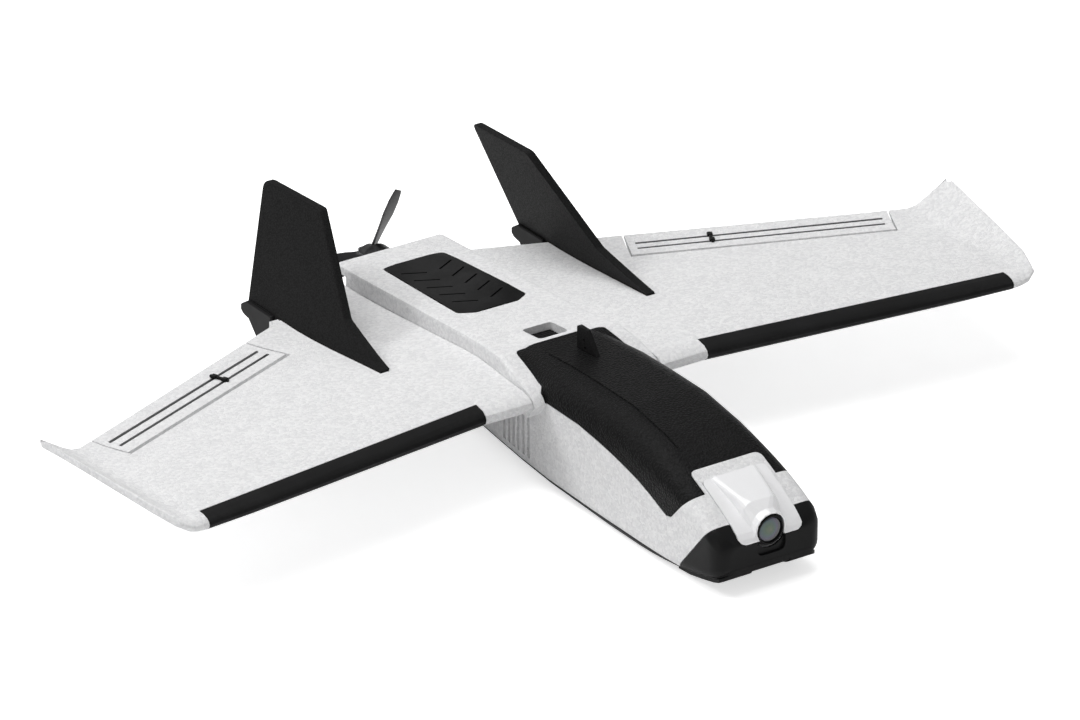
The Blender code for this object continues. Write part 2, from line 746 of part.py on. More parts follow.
def deck_top(y):
    """Height of the deck's flat top along the pod."""
    share = (y - HATCH_REAR_Y) / (DECK_REAR - HATCH_REAR_Y)
    share = min(1.0, max(0.0, share))
    return between(DECK_FRONT_TOP, DECK_REAR_TOP, share ** 0.86)


def deck_plan(name, grow=0.0):
    """The deck's outline from above, extruded upright: straight sides that flare at the front."""
    side = []
    for count in range(7):
        y = between(DECK_FLARE_REAR, DECK_FLARE_FRONT, count / 6)
        flare = ease((DECK_FLARE_REAR - y) / (DECK_FLARE_REAR - DECK_FLARE_FRONT))
        side.append((DECK_HALF_WIDTH + DECK_FLARE * flare + grow, y))
    side = [(side[0][0], DECK_REAR + CUT_MARGIN)] + side + [(side[-1][0], DECK_FRONT - CUT_MARGIN)]
    outline = side + [(-x, y) for x, y in reversed(side)]
    return prism(name, outline, "Z", -CUT_MARGIN, 2 * POD_HEIGHT)


def deck_solid():
    """The flat-topped block that carries the wing roots, with its lip over the motor."""
    brow = curve_through([(DECK_FRONT, ROOT_LEADING_Z),
                          (DECK_FRONT + 0.0045, ROOT_LEADING_Z + 0.0050),
                          (DECK_FRONT + 0.0190, DECK_FRONT_TOP - 0.0037),
                          (HATCH_REAR_Y - 0.002, DECK_FRONT_TOP - 0.0002)], 3)
    top = [(between(HATCH_REAR_Y, DECK_REAR, count / 6),
            deck_top(between(HATCH_REAR_Y, DECK_REAR, count / 6))) for count in range(1, 7)]
    under = [(DECK_REAR, DECK_REAR_TOP - DECK_LIP),
             (DECK_REAR - DECK_LIP_LENGTH, DECK_REAR_TOP - DECK_LIP),
             (DECK_REAR - DECK_LIP_LENGTH, DECK_BOTTOM),
             (DECK_FRONT + 0.006, DECK_BOTTOM)]
    reach = DECK_HALF_WIDTH + 2 * DECK_FLARE
    deck = prism("deck", brow + top + under, "X", -reach, reach)
    combine(deck, deck_plan("plan"), "INTERSECT")

    def is_top_edge(edge):
        faces = edge.link_faces
        beside = any(abs(face.normal.z) < 0.01 and abs(face.normal.x) > 0.7 for face in faces)
        above = any(face.normal.z > 0.25 and abs(face.normal.x) < 0.01 for face in faces)
        return beside and above
    return bevel_edges(deck, DECK_EDGE_RADIUS, 2, is_top_edge)


def side_ribs(shell):
    """Upright grooves of the air outlet on each flank, under the wing root."""
    for count in range(RIB_COUNT):
        y = RIB_FIRST_Y + RIB_PITCH * count
        half_width = pod_shape(y)[0]
        for side in (-1, 1):
            ends = sorted((side * (half_width - RIB_DEPTH), side * (half_width + CUT_MARGIN)))
            cut(shell, block("groove", (ends[0], y, RIB_BOTTOM),
                             (ends[1], y + RIB_GROOVE, RIB_TOP)))


def bay_cutters(shell):
    """Battery bay, electronics bay, the lead tunnel between them and the air inlet."""
    top = POD_HEIGHT + CUT_MARGIN
    ceiling = DECK_REAR_TOP - ROOF_THICKNESS
    floor = ELECTRONICS_FLOOR
    cut(shell, block("bay", (-BATTERY_BAY_HALF_WIDTH, BATTERY_BAY_FRONT, BAY_FLOOR),
                     (BATTERY_BAY_HALF_WIDTH, BATTERY_BAY_REAR, top)))
    cut(shell, block("bay", (-ELECTRONICS_BAY_HALF_WIDTH, ELECTRONICS_BAY_FRONT, floor),
                     (ELECTRONICS_BAY_HALF_WIDTH, ELECTRONICS_BAY_REAR, ceiling)))
    cut(shell, block("tunnel", (-TUNNEL_HALF_WIDTH, BATTERY_BAY_REAR - CUT_MARGIN, floor + GAP),
                     (TUNNEL_HALF_WIDTH, ELECTRONICS_BAY_FRONT + CUT_MARGIN, TUNNEL_TOP)))
    inlet = [(-INLET_HALF_WIDTH, INLET_FRONT), (INLET_HALF_WIDTH, INLET_FRONT),
             (INLET_HALF_WIDTH, INLET_REAR), (-INLET_HALF_WIDTH, INLET_REAR)]
    cut(shell, prism("inlet", rounded(inlet, (INLET_CORNER,) * 4), "Z", ceiling - CUT_MARGIN, top))


def hatch_floor(y):
    """Underside of the hatch at the middle of the pod."""
    return pod_shape(y)[2] - HATCH_SKIN


def fuselage_shell():
    """White foam pod with the deck, its bays, and seats for everything let into it."""
    shell = fuse(pod_solid("fuselage_shell"), deck_solid())
    seat = hatch_region("seat", GAP)
    cut(seat, pod_solid("core", HATCH_SKIN + GAP))
    cut(shell, seat)
    nose = side_cutter("seat", nose_outline(), GAP)
    cut(nose, pod_solid("core", BUMPER_SKIN + GAP))
    cut(shell, nose)
    cut(shell, belly_slab("seat", GAP))
    bay_cutters(shell)
    cut(shell, vent_plate("seat", GAP, CUT_MARGIN))
    cut(shell, block("well", (-VENT_WELL_HALF_WIDTH, VENT_FRONT + VENT_RIM,
                              DECK_REAR_TOP - ROOF_THICKNESS - CUT_MARGIN),
                     (VENT_WELL_HALF_WIDTH, VENT_REAR - 2 * VENT_RIM, DECK_FRONT_TOP)))
    cut(shell, cover_plate("seat", GAP, -CUT_MARGIN))
    cut(shell, nacelle("seat", -GAP))
    half = CAMERA_HALF + GAP
    cut(shell, block("bay", (-half, -NOSE_LENGTH + CAMERA_BAY_SETBACK, CAMERA_Z - half),
                     (half, CAMERA_REAR + GAP, POD_HEIGHT)))
    cut(shell, block("lead", (-CAMERA_LEAD_HALF, CAMERA_REAR - GAP, CAMERA_Z - CAMERA_LEAD_HALF),
                     (CAMERA_LEAD_HALF, BATTERY_BAY_FRONT + GAP, CAMERA_Z + CAMERA_LEAD_HALF)))
    cut(shell, prism("hole", circle((SPAR_Y, SPAR_Z), SPAR_RADIUS + GAP, 16), "X",
                     -DECK_HALF_WIDTH - 2 * DECK_FLARE, DECK_HALF_WIDTH + 2 * DECK_FLARE))
    magnet_floor = hatch_floor(MAGNET_Y) - 2 * GAP - MAGNET_HEIGHT
    cut(shell, prism("hole", circle((0.0, MAGNET_Y), MAGNET_RADIUS + GAP, 20), "Z",
                     magnet_floor - GAP, POD_HEIGHT))
    side_ribs(shell)
    return dress(shell, "fuselage_shell", "foam")


# ================================================================ pod fittings
def battery_hatch():
    """Thin cover over the battery bay with a slightly raised middle panel."""
    outer = fuse(pod_solid("battery_hatch"), deck_solid())
    combine(outer, hatch_region("region"), "INTERSECT")
    panel = pod_solid("panel", -PANEL_RISE)
    plan = [(-PANEL_HALF_WIDTH, PANEL_FRONT_Y), (PANEL_HALF_WIDTH, PANEL_FRONT_Y),
            (PANEL_HALF_WIDTH, PANEL_REAR_Y), (-PANEL_HALF_WIDTH, PANEL_REAR_Y)]
    plan = rounded(plan, (PANEL_CORNER,) * 4)
    combine(panel, prism("plan", plan, "Z", HATCH_KINK_Z, 2 * POD_HEIGHT), "INTERSECT")
    fuse(outer, panel)
    cut(outer, pod_solid("core", HATCH_SKIN))
    cut(outer, tab_plate("slot", GAP))
    cut(outer, prism("hole", circle((0.0, MAGNET_Y), MAGNET_RADIUS + GAP, 20), "Z",
                     SPAR_Z, hatch_floor(MAGNET_Y) + MAGNET_HEIGHT + GAP))
    return dress(outer, "battery_hatch", "black_foam")


def tab_plate(name, grow=0.0):
    """Upright plate of the pull tab, standing in a slot of the hatch."""
    base = POD_HEIGHT - TAB_SEAT - grow
    top = POD_HEIGHT + TAB_HEIGHT
    outline = [(TAB_REAR_Y + grow, base), (TAB_REAR_Y + grow, top),
               (TAB_REAR_Y - TAB_TOP_LENGTH, top),
               (TAB_REAR_Y - TAB_BASE_LENGTH - grow, POD_HEIGHT),
               (TAB_REAR_Y - TAB_BASE_LENGTH - grow, base)]
    outline = rounded(outline, (0.0, TAB_CORNER, TAB_CORNER, 0.0, 0.0))
    half = 0.5 * TAB_THICKNESS + grow
    return prism(name, outline, "X", -half, half)


def hatch_pull_tab():
    """Pull tab with two small holes for a cord."""
    tab = tab_plate("hatch_pull_tab")
    for behind, above in TAB_HOLES:
        centre = (TAB_REAR_Y - behind, POD_HEIGHT + above)
        cut(tab, prism("hole", circle(centre, TAB_HOLE_RADIUS, 12), "X",
                       -TAB_THICKNESS, TAB_THICKNESS))
    return dress(tab, "hatch_pull_tab", "black_foam")


def magnets():
    """One disc magnet let into the hatch and its partner in the pod."""
    ring = circle((0.0, MAGNET_Y), MAGNET_RADIUS, 20)
    upper = hatch_floor(MAGNET_Y)
    top = prism("hatch_magnet", ring, "Z", upper, upper + MAGNET_HEIGHT)
    low = upper - 2 * GAP - MAGNET_HEIGHT
    bottom = prism("shell_magnet", ring, "Z", low, low + MAGNET_HEIGHT)
    dress(top, "hatch_magnet", "magnet")
    dress(bottom, "shell_magnet", "magnet")


def nose_bumper():
    """Black cup round the nose, notched under the lens."""
    bumper = pod_solid("nose_bumper")
    combine(bumper, side_cutter("region", nose_outline()), "INTERSECT")
    cut(bumper, pod_solid("core", BUMPER_SKIN))
    cut(bumper, belly_slab("seat", GAP))
    cut(bumper, cover_plate("seat", GAP, -CUT_MARGIN))
    cut(bumper, nacelle("seat", -GAP))
    above = NOSE_FACE_TOP + CUT_MARGIN
    notch = [(-LENS_NOTCH_HALF, above), (LENS_NOTCH_HALF, above),
             (LENS_NOTCH_HALF, LENS_NOTCH_BOTTOM), (-LENS_NOTCH_HALF, LENS_NOTCH_BOTTOM)]
    notch = rounded(notch, (0.0, 0.0, LENS_NOTCH_CORNER, LENS_NOTCH_CORNER))
    cut(bumper, prism("notch", notch, "Y", -NOSE_LENGTH - CUT_MARGIN,
                      -NOSE_LENGTH + LENS_NOTCH_DEPTH))
    return dress(bumper, "nose_bumper", "black_plastic")


def skid_pad(side):
    """Raised runner under one cheek of the nose."""
    rings = []
    for y in [y for y in pod_stations() if y < -NOSE_LENGTH + PAD_LENGTH]:
        half_width, bottom, _, _, _ = pod_shape(y)
        outer = min(PAD_OUTER, half_width - 0.0015)
        ends = sorted((side * PAD_INNER, side * outer))
        rings.append([(ends[0], y, bottom - PAD_RISE), (ends[1], y, bottom - PAD_RISE),
                      (ends[1], y, bottom + 0.5 * BELLY_PLATE_HEIGHT),
                      (ends[0], y, bottom + 0.5 * BELLY_PLATE_HEIGHT)])
    rings[-1] = [(x, y, max(z, z + (PAD_RISE if index < 2 else 0.0)))
                 for index, (x, y, z) in enumerate(rings[-1])]
    return loft("pad", rings)


def belly_skid_plate():
    """Thin plate under the whole pod, with two runners below the nose."""
    plate = pod_solid("belly_skid_plate")
    combine(plate, belly_slab("slab"), "INTERSECT")
    for side in (-1, 1):
        fuse(plate, skid_pad(side))
    return dress(plate, "belly_skid_plate", "black_plastic")


def vent_plate(name, grow=0.0, headroom=0.0):
    """The vent cover's outline as a plate that follows the deck."""
    rings = []
    for count in range(6):
        y = between(VENT_FRONT - CUT_MARGIN, VENT_REAR + CUT_MARGIN, count / 5)
        low = deck_top(y) - VENT_PLATE - grow
        high = deck_top(y) + VENT_PROUD + headroom
        half = 2 * VENT_FRONT_HALF_WIDTH
        rings.append([(-half, y, low), (half, y, low), (half, y, high), (-half, y, high)])
    plate = loft(name, rings)
    side = VENT_FRONT + VENT_CHAMFER
    outline = [(-VENT_NOSE_HALF_WIDTH, VENT_FRONT), (VENT_NOSE_HALF_WIDTH, VENT_FRONT),
               (VENT_FRONT_HALF_WIDTH, side), (VENT_REAR_HALF_WIDTH, VENT_REAR),
               (-VENT_REAR_HALF_WIDTH, VENT_REAR), (-VENT_FRONT_HALF_WIDTH, side)]
    outline = rounded(grown(outline, grow), (VENT_CORNER + grow,) * 6, 3)
    return combine(plate, prism("plan", outline, "Z", 0.0, 2 * POD_HEIGHT), "INTERSECT")


def corner_facet(plate, crease, corner):
    """Slope one corner of the plate down from a crease between two plan points."""
    low = []
    for index, (x, y) in enumerate((*crease, corner)):
        drop = VENT_FACET_DEPTH if index == 2 else 0.0
        low.append((x, y, deck_top(y) + VENT_PROUD - drop))
    high = [(x, y, z + 2 * CUT_MARGIN) for x, y, z in low]
    cut(plate, loft("facet", [low, high]))


def vent_cover():
    """Slotted plate over the electronics bay, five chevrons of slots pointing at the nose."""
    plate = vent_plate("vent_cover")
    for side in (-1, 1):
        wide = side * (VENT_FRONT_HALF_WIDTH + CUT_MARGIN)
        corner_facet(plate, ((side * VENT_FRONT_FACET[0], VENT_FRONT - CUT_MARGIN),
                             (wide, VENT_FRONT + VENT_FRONT_FACET[1])), (wide, VENT_FRONT - CUT_MARGIN))
        corner_facet(plate, ((side * VENT_REAR_FACET[0], VENT_REAR + CUT_MARGIN),
                             (wide, VENT_REAR - VENT_REAR_FACET[1])), (wide, VENT_REAR + CUT_MARGIN))
    for row in range(SLOT_COUNT):
        y = SLOT_FIRST_Y + SLOT_PITCH * row
        for side in (-1, 1):
            along = Vector((side * math.cos(SLOT_SWEEP), math.sin(SLOT_SWEEP)))
            across = Vector((-along.y, along.x)) * 0.5 * SLOT_WIDTH
            middle = Vector((side * SLOT_CENTRE_X, y))
            reach = along * 0.5 * SLOT_LENGTH
            outline = [tuple(middle - reach - across), tuple(middle + reach - across),
                       tuple(middle + reach + across), tuple(middle - reach + across)]
            cut(plate, prism("slot", outline, "Z", SPAR_Z, POD_HEIGHT + CUT_MARGIN))
    return dress(plate, "vent_cover", "black_plastic")


# ================================================================ camera
def cover_plate(name, grow=0.0, headroom=0.0):
    """The nose cover's skin, wrapped over the top of the pod."""
    skin = pod_solid(name, -COVER_PROUD + headroom)
    half = COVER_HALF_WIDTH + grow
    ahead = -NOSE_LENGTH - 2 * CUT_MARGIN
    behind = COVER_REAR_Y + grow
    plan = [(-half, ahead), (half, ahead), (half, behind), (-half, behind)]
    plan = rounded(plan, (0.0, 0.0, COVER_CORNER, COVER_CORNER))
    combine(skin, prism("plan", plan, "Z", 0.0, 2 * POD_HEIGHT), "INTERSECT")
    chin = COVER_BOTTOM - grow
    face = [(-half - GAP, chin), (half + GAP, chin),
            (half + GAP, 2 * POD_HEIGHT), (-half - GAP, 2 * POD_HEIGHT)]
    corner = COVER_CHIN_CORNER + grow
    face = rounded(face, (corner, corner, 0.0, 0.0))
    combine(skin, prism("face", face, "Y", ahead, behind + CUT_MARGIN), "INTERSECT")
    return cut(skin, pod_solid("core", COVER_SKIN + grow))


def tapered_ring(y, base_half, top_half, low, high, radius, steps=4):
    """A rounded section across the nacelle, narrower at the top than at the bottom."""
    middle = 0.5 * (low + high)
    half_height = 0.5 * (high - low)
    points = []
    for corner, (side_x, side_z) in enumerate(((1, -1), (1, 1), (-1, 1), (-1, -1))):
        start = -0.5 * math.pi + 0.5 * math.pi * corner
        for step in range(steps + 1):
            angle = start + 0.5 * math.pi * step / steps
            z = side_z * (half_height - radius) + radius * math.sin(angle)
            share = 0.5 + 0.5 * z / half_height
            half = between(base_half, top_half, share)
            x = side_x * (half - radius) + radius * math.cos(angle)
            points.append((x, y, middle + z))
    return points


def nacelle(name, inset=0.0):
    """Outer form of the camera housing, from the round collar back to its flat top."""
    collar = LENS_RADIUS + COLLAR_WALL
    stations = [
        (-NOSE_LENGTH + 0.0008, collar, collar, CAMERA_Z - collar, CAMERA_Z + collar, collar),
        (-NOSE_LENGTH + 0.0045, collar, collar, CAMERA_Z - collar, CAMERA_Z + collar + 0.001,
         0.92 * collar),
        (between(-NOSE_LENGTH, NACELLE_FRONT_Y, 0.62), between(collar, NACELLE_BASE_HALF, 0.5),
         NACELLE_TOP_HALF, CAMERA_Z - 0.9 * collar, between(CAMERA_Z + collar, NACELLE_TOP_Z, 0.75),
         0.5 * collar),
        (NACELLE_FRONT_Y, between(collar, NACELLE_BASE_HALF, 0.8), NACELLE_TOP_HALF,
         CAMERA_Z - 0.8 * collar, NACELLE_TOP_Z, NACELLE_EDGE),
        (COVER_REAR_Y - 0.0010, NACELLE_BASE_HALF, NACELLE_REAR_TOP_HALF,
         CAMERA_Z, NACELLE_REAR_TOP_Z, NACELLE_EDGE)]
    rings = []
    for y, base_half, top_half, low, high, radius in stations:
        radius = max(radius - inset, 0.0004)
        rings.append(tapered_ring(y, base_half - inset, top_half - inset, low + inset,
                                  high - inset, radius))
    if inset > 0.0:
        rings[0] = [(x, y - CUT_MARGIN, z) for x, y, z in rings[0]]
        rings[-1] = [(x, y - inset, z) for x, y, z in rings[-1]]
    return loft(name, rings)


def camera_cover():
    """Glossy cover: a thin skin over the nose with the camera's housing standing on it."""
    cover = cover_plate("camera_cover")
    shape = nacelle("shape")
    cut(shape, pod_solid("core", COVER_SKIN))
    fuse(cover, shape)
    hollow = nacelle("hollow", NACELLE_WALL)
    cut(cover, hollow)
    cut(cover, block("below", (-POD_HALF_WIDTH, -NOSE_LENGTH - CUT_MARGIN, -CUT_MARGIN),
                     (POD_HALF_WIDTH, CREST_Y, COVER_BOTTOM)))
    return dress(cover, "camera_cover", "white_plastic")


def camera_parts():
    """Camera body, lens barrel with its rim, and the front glass."""
    body = block("camera_body", (-CAMERA_HALF, CAMERA_FRONT, CAMERA_Z - CAMERA_HALF),
                 (CAMERA_HALF, CAMERA_REAR, CAMERA_Z + CAMERA_HALF))
    bevel_edges(body, 0.0006, 1, lambda edge: True)
    dress(body, "camera_body", "black_plastic")
    start = CAMERA_FRONT - GAP
    reach = LENS_FACE_Y - start
    rim = LENS_FACE_Y + LENS_RIM_DEPTH - start
    barrel = turned("camera_lens_barrel",
                    [(0.0, BARREL_RADIUS), (rim + 0.0006, BARREL_RADIUS),
                     (rim, LENS_RADIUS - 0.0006), (rim - 0.0004, LENS_RADIUS),
                     (reach + 0.0005, LENS_RADIUS), (reach, LENS_RADIUS - 0.0005)],
                    start, (0.0, CAMERA_Z))
    well = turned("well", [(0.0, GLASS_RADIUS + GAP), (GLASS_SEAT + GAP, GLASS_RADIUS + GAP)],
                  LENS_FACE_Y - GAP, (0.0, CAMERA_Z))
    cut(barrel, well)
    dress(barrel, "camera_lens_barrel", "black_plastic")
    dome = [(GLASS_SEAT, GLASS_RADIUS)]
    for step in range(5):
        angle = 0.5 * math.pi * step / 4.6
        dome.append((GLASS_SEAT * 0.55 - GLASS_BULGE * math.sin(angle),
                     GLASS_RADIUS * math.cos(angle)))
    glass = turned("camera_lens_glass", dome, LENS_FACE_Y, (0.0, CAMERA_Z))
    dress(glass, "camera_lens_glass", "glass")


# ================================================================ wing
def wing_share(x):
    """Share of the way from the wing root to the elevon's outer end."""
    return (x - DECK_HALF_WIDTH) / (HALF_SPAN - ELEVON_END_INSET - DECK_HALF_WIDTH)


def leading_y(x):
    """Leading edge in plan: straight, swept forward, then rounded off to the tip point."""
    swept = between(ROOT_LEADING_Y, TIP_LEADING_Y,
                    max(0.0, (x - KINK_X) / (HALF_SPAN - GUARD_END_INSET - KINK_X)))
    chord = TIP_TRAILING_Y - TIP_LEADING_Y
    tip = TIP_TRAILING_Y - (HALF_SPAN - x) * chord / TIP_EDGE_FRONT
    return 0.5 * (swept + tip + math.hypot(swept - tip, TIP_CORNER_RADIUS))


def trailing_y(x):
    """Trailing edge in plan: one straight run, then the tip's own shallower one."""
    straight = between(ROOT_TRAILING_Y, OUTER_TRAILING_Y, wing_share(x))
    tip = TIP_TRAILING_Y + (HALF_SPAN - x) * TIP_TRAILING_SLOPE
    return max(straight, tip)


def tip_lift(x, y):
    """Rise of the upturned tip at a plan position."""
    across = (y - TIP_TRAILING_Y) / (TIP_LEADING_Y - TIP_TRAILING_Y)
    fold_x = HALF_SPAN - between(TIP_LENGTH, TIP_FOLD_FRONT, across)
    beyond = x - fold_x
    return 0.5 * (beyond + math.hypot(beyond, TIP_FOLD_RADIUS)) * math.tan(TIP_UPTURN)


def wing_point(x, y, side, inset=0.0):
    """Height of the wing's upper (+1) or lower (-1) surface at a plan position."""
    lead = leading_y(x) + inset
    u = min(1.0, max(0.0, (y - lead) / (trailing_y(x) - lead)))
    share = wing_share(x)
    mean = between(between(ROOT_LEADING_Z, TIP_LEADING_Z, share),
                   between(ROOT_TRAILING_Z, TIP_TRAILING_Z, share), u)
    mean -= REFLEX * u ** 3 * (1 - u) * 256 / 27
    crest = between(ROOT_HALF_THICKNESS, TIP_HALF_THICKNESS, share)
    thin = max(0.0, share - 1.0) / (wing_share(HALF_SPAN) - 1.0)
    crest = between(crest, 2 * TRAILING_HALF_THICKNESS, thin)
    if u < CREST_AT:
        half = crest * math.sqrt(1 - (1 - u / CREST_AT) ** LEADING_BLUNTNESS)
    else:
        behind = (u - CREST_AT) / (1 - CREST_AT)
        half = between(crest, TRAILING_HALF_THICKNESS, behind ** 1.4)
    half = max(half - inset, 0.0)
    return mean + side * half + tip_lift(x, y)


def wing_ring(x, inset=0.0):
    """Closed section of the wing: upper surface forwards, then lower surface back."""
    lead = leading_y(x) + inset
    chord = trailing_y(x) - lead
    places = [lead + chord * u for u in WING_STEPS]
    upper = [(x, y, wing_point(x, y, 1, inset)) for y in reversed(places)]
    nose = [(x, lead, wing_point(x, lead, 1, inset))]
    lower = [(x, y, wing_point(x, y, -1, inset)) for y in places]
    return upper + nose + lower


def wing_solid(name, inset=0.0):
    """The wing's full form from the root to the upturned tip."""
    outer = HALF_SPAN - ELEVON_END_INSET
    fold = HALF_SPAN - TIP_FOLD_FRONT
    stations = [DECK_HALF_WIDTH - CUT_MARGIN, KINK_X]
    stations += [between(KINK_X, outer, count / 6) for count in range(1, 7)]
    stations += [between(outer, fold, 0.6)]
    stations += [between(fold, HALF_SPAN, share) for share in (0.0, 0.2, 0.4, 0.6, 0.8, 0.95)]
    return loft(name, [wing_ring(x, inset) for x in stations])


def plan_block(name, outline):
    """A plan outline extruded through the whole height of the wing."""
    return prism(name, outline, "Z", -CUT_MARGIN, 2 * POD_HEIGHT)


def guard_region(name, grow=0.0):
    """Strip along the leading edge that the guard covers."""
    start = GUARD_START - grow
    end = HALF_SPAN - GUARD_END_INSET + grow
    ahead = TIP_LEADING_Y - CUT_MARGIN
    outline = [(start, ahead), (end, ahead), (end, leading_y(end) + GUARD_WIDTH + grow),
               (start, leading_y(start) + GUARD_WIDTH + grow)]
    return plan_block(name, outline)


class HingeLine:
    """The elevon's hinge: a straight axis along the wing's lower surface."""

    def __init__(self):
        inner = Vector((ELEVON_START, trailing_y(ELEVON_START)))
        outer_x = HALF_SPAN - ELEVON_END_INSET
        outer = Vector((outer_x, trailing_y(outer_x)))
        trailing = (outer - inner).normalized()
        back = Vector((-trailing.y, trailing.x))
        inner -= back * ELEVON_ROOT_CHORD
        outer -= back * ELEVON_TIP_CHORD
        self.start = Vector((inner.x, inner.y, wing_point(inner.x, inner.y, -1) + HINGE_RISE))
        self.end = Vector((outer.x, outer.y, wing_point(outer.x, outer.y, -1) + HINGE_RISE))
        self.along = (self.end - self.start).normalized()
        self.back = Vector((0.0, 0.0, 1.0)).cross(self.along).normalized()
        self.up = self.along.cross(self.back)
        self.length = (self.end - self.start).length

    def at(self, station, behind=0.0, above=0.0):
        """A point from its distance along, behind and above the axis."""
        return self.start + self.along * station + self.back * behind + self.up * above

    def on_surface(self, station, behind, side, offset=0.0):
        """A point on the wing's surface, moved up or down by an offset."""
        point = self.at(station, behind)
        return (point.x, point.y, wing_point(point.x, point.y, side) + offset)

    def prism(self, name, outline, low, high, finish=None):
        """Extrude an outline of (behind, above) pairs along the axis."""
        return loft(name, [[self.at(station, *point) for point in outline]
                           for station in (low, high)], finish)

    def box(self, name, stations, behind, above, finish=None):
        """A rectangular solid in the axis's own directions."""
        outline = [(behind[0], above[0]), (behind[1], above[0]),
                   (behind[1], above[1]), (behind[0], above[1])]
        return self.prism(name, outline, stations[0], stations[1], finish)


def elevon_region(hinge, name, sign, ends):
    """Space behind the hinge line, with a front face that leans away from the hinge."""
    slope = (GROOVE_HALF_WIDTH - HINGE_HALF_GAP) / GROOVE_DEPTH
    tall = 4 * GROOVE_DEPTH
    back = 2 * ELEVON_ROOT_CHORD
    outline = [(sign * HINGE_HALF_GAP, -tall), (back, -tall), (back, tall),
               (sign * (HINGE_HALF_GAP + slope * tall), tall), (sign * HINGE_HALF_GAP, 0.0)]
    return hinge.prism(name, outline, -ends, hinge.length + ends)


def strip(hinge, name, behind, grow=0.0, headroom=0.0):
    """Flat stiffening strip let into the top of the elevon."""
    half = 0.5 * STRIP_WIDTH + grow
    rings = []
    for count in range(7):
        station = between(STRIP_INSET - grow, hinge.length - STRIP_INSET + grow, count / 6)
        rings.append([hinge.on_surface(station, behind - half, 1, -STRIP_DEPTH - grow),
                      hinge.on_surface(station, behind + half, 1, -STRIP_DEPTH - grow),
                      hinge.on_surface(station, behind + half, 1, headroom),
                      hinge.on_surface(station, behind - half, 1, headroom)])
    return loft(name, rings)


def servo_pocket(hinge, wing):
    """Pocket under the wing for the servo, its ears and the arm's hub."""
    axis = -ROD_LENGTH
    half = 0.5 * SERVO_HEIGHT + GAP
    face = HORN_STATION - 0.5 * ARM_THICKNESS - ARM_STANDOFF
    deep = -3 * CUT_MARGIN
    front = axis + SERVO_AXIS_INSET - SERVO_LENGTH - GAP
    rear = axis + SERVO_AXIS_INSET + GAP
    cut(wing, hinge.box("pocket", (face - SERVO_DEPTH - GAP, face + GAP), (front, rear),
                        (deep, half)))
    ear = face - EAR_SETBACK
    cut(wing, hinge.box("pocket", (ear - EAR_THICKNESS - GAP, ear + GAP),
                        (front - EAR_LENGTH, rear + EAR_LENGTH), (deep, half - GAP)))
    reach = ARM_HUB_RADIUS + 2 * RUNNING_GAP
    arm = HORN_STATION + 0.5 * ARM_THICKNESS + 2 * RUNNING_GAP
    cut(wing, hinge.box("pocket", (face - GAP, arm), (axis - reach, axis + reach), (deep, reach)))


def boss(name):
    """White foam block under the wing's trailing edge that backs the fin's heel."""
    trail = trailing_y(FIN_X)
    front = trail - 2 * BOSS_LENGTH
    top = wing_point(FIN_X, trail, 1)
    low = FIN_HEEL_Z - BOSS_HEIGHT + 0.0015
    outline = [(front, wing_point(FIN_X, front, -1) + 0.001), (trail - 0.002, top - 0.0004),
               (trail + BOSS_LENGTH - 0.003, top - 0.0004), (trail + BOSS_LENGTH, top - 0.0020),
               (trail + BOSS_LENGTH, low + 0.001), (trail + BOSS_LENGTH - 0.002, low),
               (front + 0.010, low)]
    return prism(name, outline, "X", FIN_X - BOSS_HALF_WIDTH, FIN_X + BOSS_HALF_WIDTH)


def wing_panel(hinge):
    """White foam wing with its tip, and seats for guard, elevon, fin, spar and servo."""
    wing = wing_solid("wing")
    cut(wing, deck_plan("root", GAP))
    fuse(wing, boss("boss"))
    seat = guard_region("seat", GAP)
    cut(seat, wing_solid("core", GUARD_SKIN + GAP))
    cut(wing, seat)
    cut(wing, elevon_region(hinge, "seat", -1, ELEVON_END_GAP))
    cut(wing, fin_plate("seat", GAP))
    cut(wing, prism("hole", circle((SPAR_Y, SPAR_Z), SPAR_RADIUS + GAP, 16), "X",
                    DECK_HALF_WIDTH - 2 * CUT_MARGIN, SPAR_HALF_LENGTH + CUT_MARGIN))
    servo_pocket(hinge, wing)
    dress(wing, "left_wing_panel", "foam")
    pair(wing, "wing_panel")


def leading_edge_guard():
    """Thin black nosing wrapped round the leading edge."""
    guard = wing_solid("guard")
    combine(guard, guard_region("region"), "INTERSECT")
    cut(guard, wing_solid("core", GUARD_SKIN))
    dress(guard, "left_leading_edge_guard", "black_plastic")
    pair(guard, "leading_edge_guard")


def hang(hinge, target, piece):
    """Put a swinging piece's origin on the hinge axis, and add its right-hand twin."""
    set_origin(target, hinge.at(0.5 * hinge.length))
    pair(target, piece)


def elevons(hinge):
    """Hinged trailing edges with two stiffening strips each."""
    elevon = wing_solid("elevon")
    combine(elevon, elevon_region(hinge, "region", 1, 0.0), "INTERSECT")
    for behind in STRIP_OFFSETS:
        cut(elevon, strip(hinge, "groove", behind, GAP, CUT_MARGIN))
    cut(elevon, horn_plate(hinge, "slot", GAP))
    dress(elevon, "left_elevon", "foam")
    hang(hinge, elevon, "elevon")
    for label, behind in zip(("front", "rear"), STRIP_OFFSETS):
        piece = strip(hinge, "strip", behind)
        dress(piece, "left_elevon_strip_" + label, "carbon")
        hang(hinge, piece, "elevon_strip_" + label)


